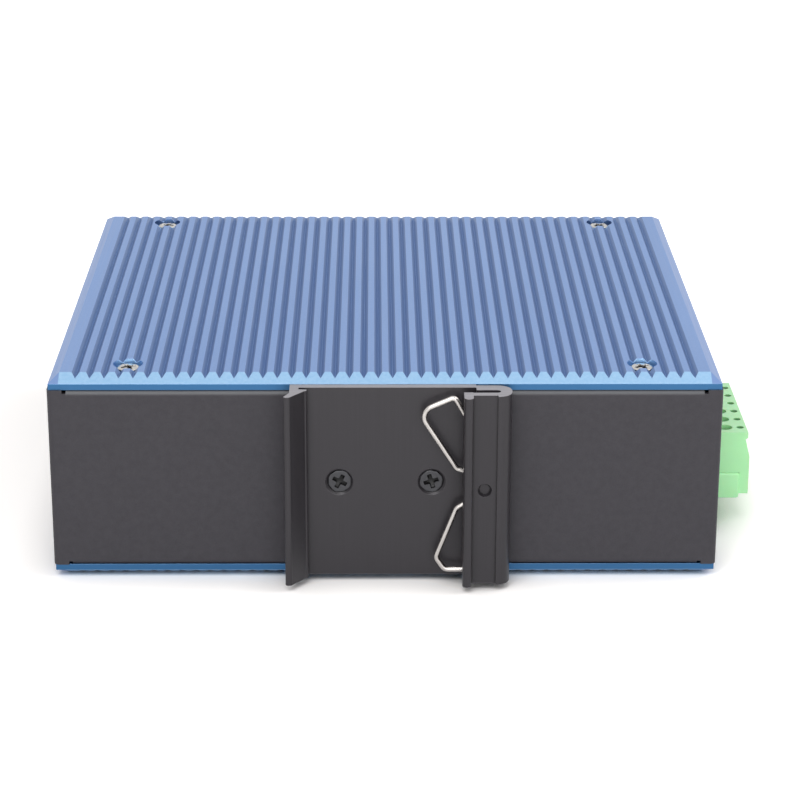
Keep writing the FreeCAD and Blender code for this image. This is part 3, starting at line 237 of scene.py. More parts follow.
def makeAnodised():
    # Blue anodised extrusion. Its colour is painted lit and shaded by face: the lands are paler than the groove walls,
    # which carry painted shade that is lighter at their foot, the cut bevels and counterbore walls carry a painted
    # highlight, and the side faces and end bevels carry painted shade. Die lines run along the grooves, and broken
    # edges are a little worn.
    material, tree, shader = newMaterial("anodisedBlue", Metallic=0.86, Roughness=anodised["rough"])
    low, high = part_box("finned_cover_upper")
    middleY = (low.y + high.y) / 2
    level = arithmetic(tree, "ABSOLUTE", heightAlong(tree, 2))
    across = 1 / anodised["lineEvery"]
    lines = noise(tree, (across, 1 / anodised["lineLength"], across), 2.0, 0.65)
    cloud = noise(tree, (40, 14, 40), 3.0)
    grit = noise(tree, (1400, 1400, 1400), 2.0, 0.6)
    tone = arithmetic(tree, "ADD", remap(tree, lines, 0.3, 0.7, 0.0, 0.55), remap(tree, cloud, 0.35, 0.65, 0.0, 0.35))
    tone = arithmetic(tree, "ADD", tone, remap(tree, grit, 0.3, 0.7, -0.15, 0.15))
    land = mixColor(tree, tone, anodised["landDeep"], anodised["land"])
    # painted shade on the groove walls, lighter towards the foot of the groove
    footLevel = high.z - anodised["grooveDepth"]
    lessShadeAtFoot = remap(tree, level, footLevel, footLevel + 0.4 * anodised["grooveDepth"], 1.0, 0.0)
    groove = mixColor(tree, lessShadeAtFoot, anodised["groove"], anodised["grooveFoot"])
    onTop = remap(tree, level, high.z - 0.10 * mm, high.z - 0.02 * mm, 0.0, 1.0)
    halfY = (high.y - low.y) / 2
    ribbed = mixColor(tree, onTop, groove, land)
    # painted highlight on the counterbore walls
    boreRadius = distanceFrom(tree, (anodised["boreX"], middleY, halfY - anodised["boreY"]))
    litBoreArea = remap(tree, boreRadius, anodised["boreRadius"] - 0.04 * mm, anodised["boreRadius"] + 0.06 * mm, 1.0, 0.0)
    belowTop = arithmetic(tree, "SUBTRACT", 1.0, onTop)
    ribbed = mixColor(tree, arithmetic(tree, "MULTIPLY", litBoreArea, belowTop), ribbed, anodised["bore"])
    # painted highlight on the bevels, with lighter grit specks in it
    bevel = mixColor(tree, remap(tree, grit, 0.3, 0.7, 0.0, 0.5), anodised["bevel"], anodised["bevelGrit"])
    # the near and far bevels fall evenly from the lands to the side faces; what lies under them is groove
    sideLevel = low.z + anodised["sideRise"]
    offMiddle = arithmetic(tree, "ABSOLUTE", arithmetic(tree, "SUBTRACT", heightAlong(tree, 1), middleY))
    bevelLevel = remap(tree, offMiddle, halfY - anodised["bevelRun"], halfY, high.z, sideLevel)
    sunk = remap(tree, arithmetic(tree, "SUBTRACT", bevelLevel, level), 0.04 * mm, 0.10 * mm, 0.0, 1.0)
    alongY = within(tree, 1, middleY, halfY - anodised["bevelRun"], 0.05 * mm)
    color = mixColor(tree, arithmetic(tree, "MAXIMUM", alongY, sunk), bevel, ribbed)
    # painted shade on the end bevels
    alongX = within(tree, 0, 0.0, high.x - anodised["bevelSide"], 0.05 * mm)
    color = mixColor(tree, alongX, anodised["shadedEndBevel"], color)
    # painted shade on the side faces: the side colour is the anodised blue in shade
    sideShadeArea = remap(tree, level, sideLevel - 0.03 * mm, sideLevel + 0.03 * mm, 1.0, 0.0)
    color = mixColor(tree, sideShadeArea, color, anodised["side"])
    rounded = softEdge(tree, anodised["edge"])
    worn = arithmetic(tree, "MULTIPLY", edgeMask(tree, rounded), anodised["wear"])
    tree.links.new(mixColor(tree, worn, color, anodised["wornEdge"]), shader.inputs["Base Color"])
    tree.links.new(remap(tree, lines, 0.25, 0.75, anodised["rough"] - 0.05, anodised["rough"] + 0.09),
                   shader.inputs["Roughness"])
    surface = arithmetic(tree, "ADD", lines, arithmetic(tree, "MULTIPLY", grit, 0.5))
    tree.links.new(bump(tree, surface, 0.25, 0.03 * mm, rounded), shader.inputs["Normal"])
    return material


powder = {
    "dark": (0.0275, 0.0250, 0.0312), "light": (0.0335, 0.0305, 0.0375), "bend": (0.090, 0.092, 0.100),
    "wornEdge": (0.11, 0.11, 0.115), "wear": 0.4, "edge": 0.14 * mm, "grain": 0.30 * mm, "rough": 0.50,
}


def makePowderCoat():
    # Charcoal powder coat with fine orange peel and a faint mottle, and a painted highlight on the upper bends.
    material, tree, shader = newMaterial("powderCoat", Roughness=powder["rough"], Specular_IOR_Level=0.42)
    fine = 1 / powder["grain"]
    peel = noise(tree, (fine, fine, fine), 2.0, 0.5)
    mottle = noise(tree, (700, 700, 700), 3.0, 0.6)
    color = mixColor(tree, remap(tree, mottle, 0.3, 0.7, 0.0, 1.0), powder["dark"], powder["light"])
    # painted highlight on faces that lean upwards, such as the upper bends; the bend colour is the coat as lit
    surface = tree.nodes.new("ShaderNodeNewGeometry")
    split = tree.nodes.new("ShaderNodeSeparateXYZ")
    tree.links.new(surface.outputs["Normal"], split.inputs[0])
    upFacingHighlight = arithmetic(tree, "MULTIPLY", remap(tree, split.outputs[2], 0.15, 0.5, 0.0, 1.0),
                         remap(tree, split.outputs[2], 0.8, 0.97, 1.0, 0.0))
    color = mixColor(tree, upFacingHighlight, color, powder["bend"])
    rounded = softEdge(tree, powder["edge"])
    worn = arithmetic(tree, "MULTIPLY", edgeMask(tree, rounded), powder["wear"])
    tree.links.new(mixColor(tree, worn, color, powder["wornEdge"]), shader.inputs["Base Color"])
    tree.links.new(remap(tree, peel, 0.3, 0.7, powder["rough"] - 0.06, powder["rough"] + 0.1),
                   shader.inputs["Roughness"])
    tree.links.new(bump(tree, peel, 0.32, 0.045 * mm, rounded), shader.inputs["Normal"])
    return material


clipFinish = {
    "face": (0.0285, 0.0257, 0.0295), "dieLine": (0.037, 0.0335, 0.040), "sawn": (0.24, 0.228, 0.245),
    "sawLine": (0.35, 0.335, 0.36), "wornEdge": (0.14, 0.14, 0.145), "wear": 0.3, "edge": 0.12 * mm, "rough": 0.33,
    "lineEvery": 0.25 * mm, "lineLength": 30 * mm, "creviceShade": (0.004, 0.004, 0.004), "creviceShadeWithin": 0.7 * mm,
}


def makeClipFinish():
    # Black anodised extrusion with die lines along its length. The two sawn ends are bare and grey, and the tight
    # corners get painted shade.
    material, tree, shader = newMaterial("blackExtrusion", Metallic=0.25, Roughness=clipFinish["rough"])
    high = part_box("din_clip")[1].z
    across = 1 / clipFinish["lineEvery"]
    lines = noise(tree, (across, across, 1 / clipFinish["lineLength"]), 2.0, 0.6)
    saw = noise(tree, (120, 4200, 120), 2.0, 0.7)
    distance = arithmetic(tree, "ABSOLUTE", heightAlong(tree, 2))
    sawnEnd = remap(tree, distance, high - 0.05 * mm, high - 0.02 * mm, 0.0, 1.0)
    face = mixColor(tree, remap(tree, lines, 0.3, 0.7, 0.0, 0.35), clipFinish["face"], clipFinish["dieLine"])
    bare = mixColor(tree, remap(tree, saw, 0.3, 0.7, 0.0, 0.6), clipFinish["sawn"], clipFinish["sawLine"])
    rounded = softEdge(tree, clipFinish["edge"])
    worn = arithmetic(tree, "MULTIPLY", edgeMask(tree, rounded), clipFinish["wear"])
    body = mixColor(tree, worn, face, clipFinish["wornEdge"])
    # painted shade in the tight corners, where little of the surround is open
    unshadedArea = remap(tree, openness(tree, clipFinish["creviceShadeWithin"]), 0.35, 0.8, 0.0, 1.0)
    body = mixColor(tree, unshadedArea, clipFinish["creviceShade"], body)
    tree.links.new(mixColor(tree, sawnEnd, body, bare), shader.inputs["Base Color"])
    tree.links.new(remap(tree, lines, 0.25, 0.75, clipFinish["rough"] - 0.05, clipFinish["rough"] + 0.1),
                   shader.inputs["Roughness"])
    tree.links.new(bump(tree, lines, 0.2, 0.03 * mm, rounded), shader.inputs["Normal"])
    return material


def makeMetal(name, color, rough, tint=0.12, streaks=(900, 900, 900), edge=0.06 * mm, metallic=1.0, recessTone=None):
    # Plated metal with a slight change of tone and roughness over it, and rounded edges. Where a recess colour is
    # given, a point goes towards it the deeper it lies in its recess.
    material, tree, shader = newMaterial(name, Metallic=metallic, Roughness=rough)
    field = noise(tree, streaks, 3.0, 0.6)
    darker = tuple(channel * (1 - tint) for channel in color)
    shade = mixColor(tree, remap(tree, field, 0.3, 0.7, 0.0, 1.0), darker, color)
    if recessTone:  # the piece's own attribute says how deep in its recess a point lies
        sunk = tree.nodes.new("ShaderNodeAttribute")
        sunk.attribute_name = "sunk"
        shade = mixColor(tree, remap(tree, sunk.outputs["Fac"], 0.05, 0.45, 0.0, 0.92), shade, recessTone)
    tree.links.new(shade, shader.inputs["Base Color"])
    tree.links.new(remap(tree, field, 0.3, 0.7, max(rough - 0.05, 0.05), rough + 0.07), shader.inputs["Roughness"])
    rounded = softEdge(tree, edge)
    tree.links.new(bump(tree, field, 0.1, 0.02 * mm, rounded), shader.inputs["Normal"])
    return material


holeShadeWithin = 2.5 * mm  # holes about this wide get painted shade inside


def makeMoulding(name, color, rough, grain=0.25 * mm, tint=0.14, edge=0.12 * mm, holeShade=None, **more):
    # Moulded plastic with spark-eroded grain and a soft change of tone. Where a hole colour is given, holes
    # get painted shade towards it.
    material, tree, shader = newMaterial(name, Roughness=rough, **more)
    fine = 1 / grain
    texture = noise(tree, (fine, fine, fine), 2.0, 0.5)
    cloud = noise(tree, (90, 90, 90), 3.0, 0.5)
    darker = tuple(channel * (1 - tint) for channel in color)
    base = mixColor(tree, remap(tree, cloud, 0.3, 0.7, 0.0, 1.0), darker, color)
    if holeShade:
        # painted shade inside holes
        base = mixColor(tree, remap(tree, openness(tree, holeShadeWithin), 0.15, 0.6, 0.0, 1.0), holeShade, base)
    tree.links.new(base, shader.inputs["Base Color"])
    tree.links.new(remap(tree, texture, 0.3, 0.7, max(rough - 0.06, 0.05), rough + 0.08), shader.inputs["Roughness"])
    tree.links.new(bump(tree, texture, 0.16, 0.025 * mm, softEdge(tree, edge)), shader.inputs["Normal"])
    return material


def makeBoardFinish():
    # Green solder mask over copper tracks, which are raised and a little lighter and follow the edges of cells.
    material, tree, shader = newMaterial("solderMask", Roughness=0.32, Coat_Weight=0.2)
    cells = tree.nodes.new("ShaderNodeTexVoronoi")
    cells.feature = "DISTANCE_TO_EDGE"
    cells.inputs["Scale"].default_value = 1.0
    tree.links.new(objectPoint(tree, (420, 420, 420)), cells.inputs["Vector"])
    tracks = remap(tree, cells.outputs["Distance"], 0.04, 0.09, 1.0, 0.0)
    color = mixColor(tree, tracks, (0.012, 0.095, 0.04), (0.02, 0.15, 0.06))
    tree.links.new(color, shader.inputs["Base Color"])
    tree.links.new(bump(tree, tracks, 0.3, 0.03 * mm), shader.inputs["Normal"])
    return material


def makeClear(name, color):
    # Clear moulded plastic, half of it see-through, with a faint flow pattern.
    material, tree, shader = newMaterial(name, Roughness=0.12, IOR=1.49, Transmission_Weight=0.55)
    field = noise(tree, (500, 500, 500), 2.0)
    darker = tuple(channel * 0.9 for channel in color)
    tree.links.new(mixColor(tree, field, darker, color), shader.inputs["Base Color"])
    tree.links.new(bump(tree, field, 0.1, 0.02 * mm), shader.inputs["Normal"])
    return material


anodisedBlue = makeAnodised()
powderCoat = makePowderCoat()
blackExtrusion = makeClipFinish()
springNickel = makeMetal("springNickel", (0.60, 0.565, 0.54), 0.24, 0.12, (300, 300, 300))
screwNickel = makeMetal("screwNickel", (0.58, 0.56, 0.53), 0.24, 0.15, recessTone=(0.03, 0.03, 0.028))
screwBlack = makeMetal("screwBlack", (0.062, 0.062, 0.068), 0.32, 0.2, metallic=0.5, recessTone=(0.004, 0.004, 0.004))
zincSteel = makeMetal("zincSteel", (0.56, 0.57, 0.60), 0.36, 0.15)
tinnedSheet = makeMetal("tinnedSheet", (0.70, 0.69, 0.67), 0.28, 0.12, (200, 40, 200), 0.08 * mm)
goldPlate = makeMetal("goldPlate", (0.92, 0.66, 0.27), 0.22, 0.1)
tinPlate = makeMetal("tinPlate", (0.70, 0.70, 0.69), 0.30, 0.12)
canAluminium = makeMetal("canAluminium", (0.74, 0.74, 0.76), 0.24, 0.08)
blackMoulding = makeMoulding("blackMoulding", (0.03, 0.03, 0.032), 0.42)
chipMoulding = makeMoulding("chipMoulding", (0.035, 0.035, 0.038), 0.55, 0.12 * mm)
ferriteResin = makeMoulding("ferriteResin", (0.10, 0.10, 0.11), 0.62, 0.3 * mm)
siliconePad = makeMoulding("siliconePad", (0.30, 0.33, 0.38), 0.8, 0.4 * mm)
terminalGreen = makeMoulding("terminalGreen", (0.43, 0.90, 0.44), 0.36, 0.22 * mm, 0.05, 0.22 * mm,
                             holeShade=(0.05, 0.20, 0.06), Coat_Weight=0.6, Coat_Roughness=0.4,
                             Subsurface_Weight=0.15, Subsurface_Scale=1.5 * mm)
solderMask = makeBoardFinish()
clearPipe = makeClear("clearPipe", (0.86, 0.88, 0.88))

finishes = {
    anodisedBlue: ["finned_cover_upper", "finned_cover_lower"],
    powderCoat: ["chassis", "front_panel"],
    blackExtrusion: ["din_clip"],
    springNickel: ["rail_spring"],
    screwNickel: ["cover_screws_upper", "cover_screws_lower", "ground_screw", "board_screws", "plug_screws"],
    screwBlack: ["front_panel_screws", "clip_screws"],
    zincSteel: ["cover_nuts_upper", "cover_nuts_lower", "front_panel_nuts", "clip_nuts", "ground_nut",
                "ground_washer", "board_standoffs"],
    tinnedSheet: ["jack_shield", "sfp_cage_left", "sfp_cage_right"],
    goldPlate: ["jack_contacts"],
    tinPlate: ["header_pins", "plug_cages", "plug_sockets"],
    canAluminium: ["capacitor_left", "capacitor_right"],
    blackMoulding: ["jack_housing", "sfp_connector_left", "sfp_connector_right", "magnetics_1", "magnetics_2",
                    "magnetics_3", "magnetics_4"],
    chipMoulding: ["switch_chip"],
    ferriteResin: ["power_inductor"],
    siliconePad: ["thermal_pad"],
    terminalGreen: ["terminal_header", "terminal_plug"],
    solderMask: ["circuit_board"],
    clearPipe: ["led_power", "led_run", "led_fault", "light_pipe"],
}
for material, nodeNames in finishes.items():
    for nodeName in nodeNames:
        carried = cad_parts[nodeName]
        carried.data.materials.clear()
        carried.data.materials.append(material)
print("materials set on", sum(map(len, finishes.values())), "parts")


# Wire spring

springWire = {
    "radius": 0.55 * mm, "sides": 20, "arcStep": math.radians(9),
    "wallX": 18.4 * mm, "stakeX": 20.2 * mm, "turnRadius": 1.8 * mm, "waist": 3.0 * mm, "bend": 1.2 * mm,
    "tipBend": 0.9 * mm, "neck": 3.85 * mm,
    "upperBend": 2.4 * mm, "upperNeck": 3.9 * mm, "upperTail": 11.6 * mm,
    "upperTip": (4.4 * mm, 19.3 * mm), "upperWing": (11.7 * mm, 16.15 * mm),
    "lowerBend": 1.5 * mm, "lowerNeck": 4.8 * mm, "lowerTail": 14.6 * mm, "lowerTip": 1.5 * mm,
    "lowerWing": (8.05 * mm, 15.75 * mm), "lowerFoot": (6.2 * mm, 18.45 * mm),
}


def roundedPath(corners, radii, arcStep):
    # Points along straight runs joined by tangent arcs. At each corner the arc's centre lies off the first
    # tangent point by the radius, towards the inside, and the heading turns evenly round it.
    points = [corners[0]]
    heading = corners[1] - corners[0]
    heading = heading / np.linalg.norm(heading)
    for index in range(1, len(corners) - 1):
        after = corners[index + 1] - corners[index]
        after = after / np.linalg.norm(after)
        turned = math.acos(np.clip(heading @ after, -1, 1))
        radius = radii[index - 1]
        first = corners[index] - heading * radius * math.tan(turned / 2)
        inward = after - heading * (after @ heading)
        inward = inward / np.linalg.norm(inward)
        middle = first + inward * radius
        steps = max(int(turned / arcStep), 2)
        angles = np.linspace(0, turned, steps + 1)[:, None]
        arc = middle - inward * radius * np.cos(angles) + heading * radius * np.sin(angles)
        points += list(arc)
        heading = after
    points.append(corners[-1])
    return np.array(points)


def sweptTube(path, radius, sides, up):
    # A ring carried along a flat path: path + radius (cos a side + sin a up). Each end closes in a low dome of
    # smaller rings, whose radius goes by the cosine and whose reach by the sine.
    heading = np.gradient(path, axis=0)
    heading /= np.linalg.norm(heading, axis=1)[:, None]
    side = np.cross(heading, up)
    dome = 0.35 * radius
    ends = []
    for end, direction in ((0, -1), (-1, 1)):
        angles = np.linspace(0, math.pi / 2, 5)[1:-1]
        for angle in (angles if direction > 0 else angles[::-1]):
            ends.append((path[end] + heading[end] * direction * dome * math.sin(angle), side[end],
                         radius * math.cos(angle)))
    half = len(ends) // 2
    rings = ends[:half] + [(spot, aside, radius) for spot, aside in zip(path, side)] + ends[half:]
    centres, sideways, radii = (np.array(column) for column in zip(*rings))
    around = np.linspace(0, 2 * math.pi, sides, endpoint=False)
    ring = (centres[:, None] + radii[:, None, None] * (np.cos(around)[None, :, None] * sideways[:, None]
            + np.sin(around)[None, :, None] * up))
    rows = len(centres)
    tips = [path[0] - heading[0] * dome, path[-1] + heading[-1] * dome]
    points = np.concatenate([ring.reshape(-1, 3), tips])
    first = fan(rows * sides, np.arange(sides), True)
    last = fan(rows * sides + 1, np.arange(sides) + (rows - 1) * sides)
    return points, [gridFaces(rows, sides), first, last]


def makeSpring():
    # The wire lies in one plane: from the upper tail over its wing, round the stake in a square loop, and over
    # the lower wing to the lower tail. Each row of the route is X, Z and the radius of the bend there.
    low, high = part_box("rail_spring")
    level = (low.y + high.y) / 2
    w = springWire
    slotX = w["wallX"] - w["turnRadius"] / 2
    loopX = w["stakeX"] + w["turnRadius"]
    neckX = w["wallX"] - w["neck"]
    route = [
        (w["wallX"], w["upperTail"], 0),
        (w["wallX"] - w["upperTip"][0], w["upperTip"][1], w["tipBend"]),
        (w["wallX"] - w["upperWing"][0], w["upperWing"][1], w["upperBend"]),
        (neckX, w["upperNeck"], w["bend"]),
        (slotX, w["waist"], w["bend"]),
        (loopX, w["waist"], w["turnRadius"]),
        (loopX, -w["waist"], w["turnRadius"]),
        (slotX, -w["waist"], w["bend"]),
        (neckX, -w["lowerNeck"], w["bend"]),
        (w["wallX"] - w["lowerWing"][0], -w["lowerWing"][1], w["lowerBend"]),
        (w["wallX"] - w["lowerFoot"][0], -w["lowerFoot"][1], w["lowerBend"]),
        (w["wallX"] - w["lowerTip"], -w["lowerFoot"][1], w["tipBend"]),
        (w["wallX"], -w["lowerTail"], 0),
    ]
    corners = np.array([(x, level, z) for x, z, bend in route])
    path = roundedPath(corners, [bend for x, z, bend in route[1:-1]], w["arcStep"])
    points, faces = sweptTube(path, w["radius"], w["sides"], np.array([0.0, 1.0, 0.0]))
    piece = addMesh("springWire", points, faces, springNickel, "spring")
    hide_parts("rail_spring")


makeSpring()
print("wire spring made")


# Screws with a cross recess

ringColumns = 24  # six to each quarter of a ring
screwShape = {
    "armHalf": 0.40 * mm, "armReach": 1.60 * mm, "recessDepth": 1.0 * mm, "flank": 0.12 * mm,
    "pitch": 0.5 * mm, "threadDepth": 0.22 * mm, "threadRadius": 1.47 * mm, "ringsPerTurn": 4,
    "edge": 0.16 * mm, "crown": 0.16 * mm, "panelLength": 5.0 * mm,
}


def screwColumns(radius):
    # Angles round one ring: in each quarter, columns run along both flanks of an arm, asin(half width / radius).
    s = screwShape
    inner = min(math.asin(min((s["armHalf"] - s["flank"] / 2) / radius, 1)), math.radians(33))
    outer = min(math.asin(min((s["armHalf"] + s["flank"] / 2) / radius, 1)), math.radians(39))
    quarter = np.array([0, inner, outer, math.radians(45), math.pi / 2 - outer, math.pi / 2 - inner])
    return np.concatenate([quarter + turn * math.pi / 2 for turn in range(4)])


def ringAt(radius, height):
    # One ring of the columns, level or with a height for each.
    angle = screwColumns(radius)
    return np.stack([radius * np.cos(angle), radius * np.sin(angle), height + np.zeros(ringColumns)], -1)


def screwSurface(headRadius, headHeight, length, countersunk):
    # Rings from the middle of the crown out over the edge and down the shank. The crown falls with the
    # square of the radius. The recess is cut from it where a column lies inside an arm, and its floor rises
    # with the square of the radius. The thread is a triangle wave in turns of height plus angle.
    s = screwShape
    crown = 0.0 if countersunk else s["crown"]
    corner = (s["armHalf"] + s["flank"] / 2) / math.sin(math.radians(39))
    reach = s["armReach"]
    inArm = np.tile([1, 1, 0, 0, 0, 1], 4)
    rings, sunk = [], []
    for radius, cut in ((0.5 * s["armHalf"], 1), (0.9 * corner, 1), (1.08 * corner, inArm),
                        ((corner + reach) / 2, inArm), (reach - s["flank"], inArm), (reach, 0),
                        ((reach + headRadius) / 2, 0), (headRadius - s["edge"], 0)):
        depth = cut * s["recessDepth"] * (1 - 0.6 * (radius / reach) ** 2)
        rings.append(ringAt(radius, headHeight - crown * (radius / headRadius) ** 2 - depth))
        sunk.append(np.ones(ringColumns) * depth / s["recessDepth"])
    shoulder = headHeight - crown - s["edge"]
    for turn in (30, 60, 90):
        turn = math.radians(turn)
        rings.append(ringAt(headRadius - s["edge"] + s["edge"] * math.sin(turn), shoulder + s["edge"] * math.cos(turn)))
    under = shoulder - (headRadius - s["threadRadius"]) if countersunk else 0.0
    if not countersunk:
        rings.append(ringAt(headRadius, under))
    rings.append(ringAt(s["threadRadius"], under))
    angle = screwColumns(headRadius)
    turns = int((length + under) / s["pitch"])
    for height in np.linspace(under - 0.2 * mm, 0.35 * mm - length, turns * s["ringsPerTurn"]):
        wave = np.abs(2 * ((height / s["pitch"] + angle / (2 * math.pi)) % 1.0) - 1)
        radius = s["threadRadius"] - s["threadDepth"] * wave
        rings.append(np.stack([radius * np.cos(angle), radius * np.sin(angle), np.full(ringColumns, height)], -1))
    rings.append(ringAt(s["threadRadius"] - 1.6 * s["threadDepth"], -length))
    last = len(rings) * ringColumns
    column = np.arange(ringColumns)
    points = np.concatenate(rings + [[[0, 0, headHeight - s["recessDepth"]], [0, 0, -length]]])
    depths = np.concatenate([*sunk, np.zeros(last - ringColumns * len(sunk)), [1, 0]])
    return points, [gridFaces(len(rings), ringColumns)[:, ::-1], fan(last, column),
                    fan(last + 1, column + last - ringColumns, True)], depths


def placed(surface, outward, place, turned):
    # A surface made along +Z is turned about its axis, and +Z is brought to the outward direction.
    points, faces = surface[:2]
    stand = Vector(outward).to_track_quat("Z", "Y").to_matrix() @ Matrix.Rotation(turned, 3, "Z")
    return points @ np.array(stand).T + np.array(place), faces


def makeScrews(node, headRadius, headHeight, length, outward, turns, material, countersunk=0.0):
    # The heads stand at the corners of their node's box, in the middle of a side that is one head wide.
    # Along the outward axis each head's top lies on the box; two outward directions face opposite ways.
    # A countersunk head leaves the named gap round it.
    low, high = (np.array(corner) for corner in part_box(node))
    surface = screwSurface(headRadius - countersunk, headHeight, length, countersunk > 0)
    parts = []
    for direction in outward:
        axis = int(np.argmax(np.abs(direction)))
        spots = []
        for side in range(3):
            ends = (low[side] + headRadius, high[side] - headRadius)
            if side == axis:
                ends = (high[side] - headHeight,) if direction[side] > 0 else (low[side] + headHeight,)
            elif ends[1] - ends[0] < 0.5 * headRadius:
                ends = ((ends[0] + ends[1]) / 2,)
            spots.append(ends)
        for spot in ((x, y, z) for x in spots[0] for y in spots[1] for z in spots[2]):
            turned = math.radians(turns[len(parts) % len(turns)])
            parts.append(placed(surface, direction, spot, turned))
    points, faces = joinParts(parts)
    piece = addMesh(node + "_dressed", points, faces, material, "housing")
    depth = piece.data.attributes.new("sunk", "FLOAT", "POINT")
    depth.data.foreach_set("value", np.tile(surface[2], len(parts)).astype(np.float32))
    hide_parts(node)
    return len(parts)


count = makeScrews("cover_screws_upper", 2.35 * mm, 1.0 * mm, 4.5 * mm, [(0, 0, 1)], (24, -18, -62, 38),
                   screwNickel)
count += makeScrews("cover_screws_lower", 2.35 * mm, 1.0 * mm, 4.5 * mm, [(0, 0, -1)], (12, 40, -25, 70),
                    screwNickel)
count += makeScrews("front_panel_screws", 2.35 * mm, 1.0 * mm, screwShape["panelLength"], [(-1, 0, 0), (1, 0, 0)],
                    (10, 35, -20, 28), screwBlack)
count += makeScrews("clip_screws", 2.7 * mm, 0.0, 5.0 * mm, [(0, -1, 0)], (-28, 17), screwBlack,
                    0.28 * mm)
count += makeScrews("ground_screw", 2.9 * mm, 1.0 * mm, 5.0 * mm, [(1, 0, 0)], (15,), screwNickel)
print("screws made:", count)


# End walls of the terminal header

headerEnd = {
    "corner": 0.55 * mm, "proud": 0.40 * mm, "into": 0.9 * mm, "below": 0.25 * mm, "above": 0.30 * mm,
    "behind": 1.5 * mm, "ahead": 0.35 * mm, "stepsInCorner": 5,
}


def roundedBlock(low, high, corner, steps):
    # A box with rounded edges: the unit vector over the sphere times the corner radius, added to the inner
    # box's corner in the same octant. Rows run pole to pole and columns round, none on an octant's border.
    middle, inner = (low + high) / 2, (high - low) / 2 - corner
    along = np.concatenate([np.linspace(-90, -0.01, steps), np.linspace(0.01, 90, steps)])[1:-1]
    around = np.concatenate([np.linspace(0.01, 89.99, steps) + turn for turn in (0, 90, 180, 270)])
    rise, turn = np.meshgrid(np.radians(along), np.radians(around), indexing="ij")
    normal = np.stack([np.cos(rise) * np.cos(turn), np.cos(rise) * np.sin(turn), np.sin(rise)], -1).reshape(-1, 3)
    points = middle + np.sign(normal) * inner + normal * corner
    rings, columns = len(along), len(around)
    column = np.arange(columns)
    last = rings * columns
    poles = [middle - [0, 0, inner[2] + corner], middle + [0, 0, inner[2] + corner]]
    return np.concatenate([points, poles]), [gridFaces(rings, columns), fan(last, column, True),
                                             fan(last + 1, column + last - columns)]


def makeHeaderEnds():
    # A rounded block over each end of the header, from inside the end wall to just past the header's face.
    h = headerEnd
    low, high = (np.array(corner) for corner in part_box("terminal_header"))
    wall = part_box("chassis")[1].x
    parts = []
    for edge, outward in ((low[1], -1), (high[1], 1)):
        ends = sorted((edge + outward * h["proud"], edge - outward * h["into"]))
        parts.append(roundedBlock(np.array([wall - h["behind"], ends[0], low[2] - h["below"]]),
                                  np.array([high[0] + h["ahead"], ends[1], high[2] + h["above"]]),
                                  h["corner"], h["stepsInCorner"]))
    points, faces = joinParts(parts)
    addMesh("header_end_walls", points, faces, terminalGreen, "housing")


makeHeaderEnds()
print("header end walls made")


# Stage, light and camera

stage = {
    "paper": 0.88, "seenPaper": (1.40, 1.37, 1.35), "glow": 0.30, "glowFrom": 0.11, "glowTo": 0.34,
    "contact": 12 * mm, "contactPower": 0.40, "middle": (0.0, 0.06), "reach": 3.0, "sky": 0.44, "seenSky": 1.0,
}


def seenRays(tree):
    # 1 for rays that show the surface, straight on, mirrored or through glass, and 0 for rays that light others.
    rays = tree.nodes.new("ShaderNodeLightPath").outputs
    seen = arithmetic(tree, "MAXIMUM", rays["Is Camera Ray"], rays["Is Glossy Ray"])
    return arithmetic(tree, "MAXIMUM", seen, rays["Is Transmission Ray"]), rays["Is Camera Ray"]


def makeStage():
    # A white floor that keeps the soft shadow, under a white surround. The shadow deepens close under the
    # object, and the floor glows white away from it.
    reach = stage["reach"]
    corners = [(x * reach, y * reach, floorLevel) for x, y in ((-1, -1), (1, -1), (1, 1), (-1, 1))]
    mesh = bpy.data.meshes.new("floor")
    mesh.from_pydata(corners, [], [(0, 1, 2, 3)])
    floor = bpy.data.objects.new("floor", mesh)
    bpy.context.scene.collection.objects.link(floor)
    material, tree, shader = newMaterial("floorWhite", Roughness=1.0, Specular_IOR_Level=0.0)
    seen, byCamera = seenRays(tree)
    clearance = arithmetic(tree, "POWER", openness(tree, stage["contact"], 8), stage["contactPower"])
    shaded = mixColor(tree, clearance, (0.0, 0.0, 0.0), stage["seenPaper"])
    plain = mixColor(tree, seen, (stage["paper"],) * 3, (1.0, 1.0, 1.0))
    tree.links.new(mixColor(tree, byCamera, plain, shaded), shader.inputs["Base Color"])
    away = tree.nodes.new("ShaderNodeVectorMath")
    away.operation = "DISTANCE"
    tree.links.new(objectPoint(tree), away.inputs[0])
    away.inputs[1].default_value = (*stage["middle"], floorLevel)
    glow = remap(tree, away.outputs["Value"], stage["glowFrom"], stage["glowTo"], 0.0, stage["glow"])
    shader.inputs["Emission Color"].default_value = (1, 1, 1, 1)
    tree.links.new(arithmetic(tree, "MULTIPLY", seen, glow), shader.inputs["Emission Strength"])
    mesh.materials.append(material)

    world = bpy.data.worlds.new("surround")
    bpy.context.scene.world = world
    world.use_nodes = True
    sky = world.node_tree
    background = sky.nodes["Background"]
    background.inputs["Color"].default_value = (1, 1, 1, 1)
    seen, byCamera = seenRays(sky)
    sky.links.new(remap(sky, seen, 0.0, 1.0, stage["sky"], stage["seenSky"]), background.inputs["Strength"])


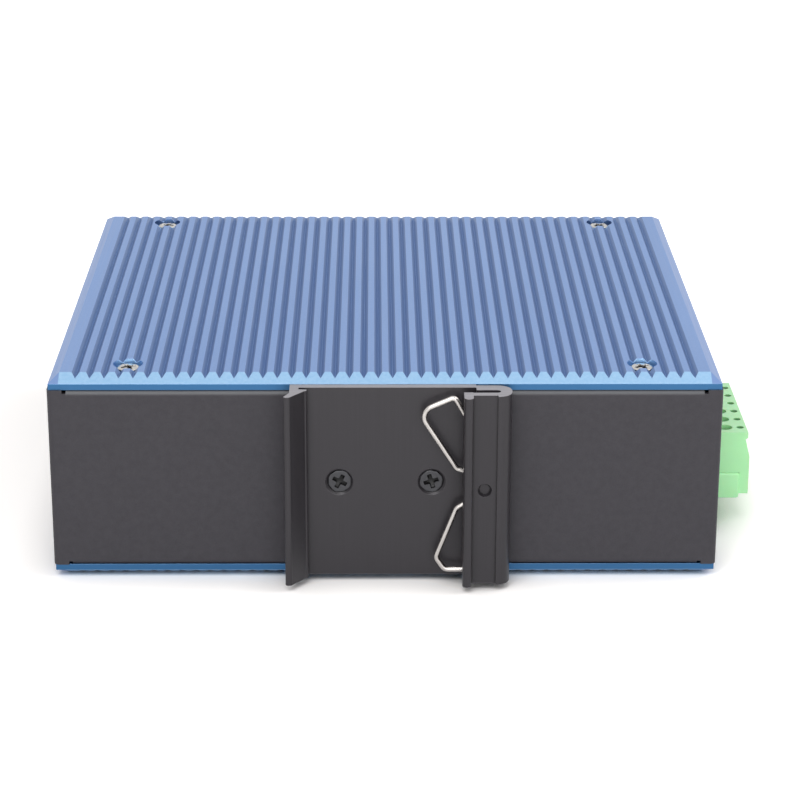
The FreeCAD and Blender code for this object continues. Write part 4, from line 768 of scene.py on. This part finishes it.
lamps = {  # place, what it faces, width and height in metres, watts
    "keyLamp": ((-0.25, -0.75, 1.0), (0.0, 0.06, 0.0), 0.9, 0.7, 8.5),
    "frontLamp": ((0.15, -1.1, 0.30), (0.0, 0.0, 0.0), 1.2, 0.5, 4.5),
    "fillLamp": ((0.8, 0.1, 0.8), (0.0, 0.06, 0.0), 0.8, 0.8, 4.0),
}


def addLamp(name, place, target, width, height, power):
    light = bpy.data.lights.new(name, "AREA")
    light.shape = "RECTANGLE"
    light.size, light.size_y, light.energy = width, height, power
    lamp = bpy.data.objects.new(name, light)
    lamp.location = place
    lamp.rotation_mode = "QUATERNION"
    lamp.rotation_quaternion = (Vector(target) - Vector(place)).to_track_quat("-Z", "Y")
    bpy.context.scene.collection.objects.link(lamp)


view = {  # angles in degrees
    "place": (-2.22 * mm, -480.0 * mm, 192.45 * mm), "yaw": 0.616, "pitch": 19.984, "roll": 0.173, "lens": 113.3,
    "near": 0.02, "far": 20,
}


def makeCamera():
    # The camera looks along +Y turned by the yaw, tips down by the pitch, and turns about its axis by the roll.
    yaw, pitch, roll = (math.radians(view[key]) for key in ("yaw", "pitch", "roll"))
    forward = Vector((math.sin(yaw) * math.cos(pitch), math.cos(yaw) * math.cos(pitch), -math.sin(pitch)))
    level = Vector((math.cos(yaw), -math.sin(yaw), 0))
    upright = level.cross(forward)
    right = level * math.cos(roll) + upright * math.sin(roll)
    up = upright * math.cos(roll) - level * math.sin(roll)
    data = bpy.data.cameras.new("camera")
    data.lens, data.sensor_width = view["lens"], 36
    data.clip_start, data.clip_end = view["near"], view["far"]
    camera = bpy.data.objects.new("camera", data)
    turned = Matrix((right, up, -forward)).transposed().to_4x4()
    camera.matrix_world = Matrix.Translation(view["place"]) @ turned
    bpy.context.scene.collection.objects.link(camera)
    bpy.context.scene.camera = camera


makeStage()
for lampName, settings in lamps.items():
    addLamp(lampName, *settings)
makeCamera()
bpy.context.scene.view_settings.view_transform = "Standard"
print("stage, lamps and camera set")
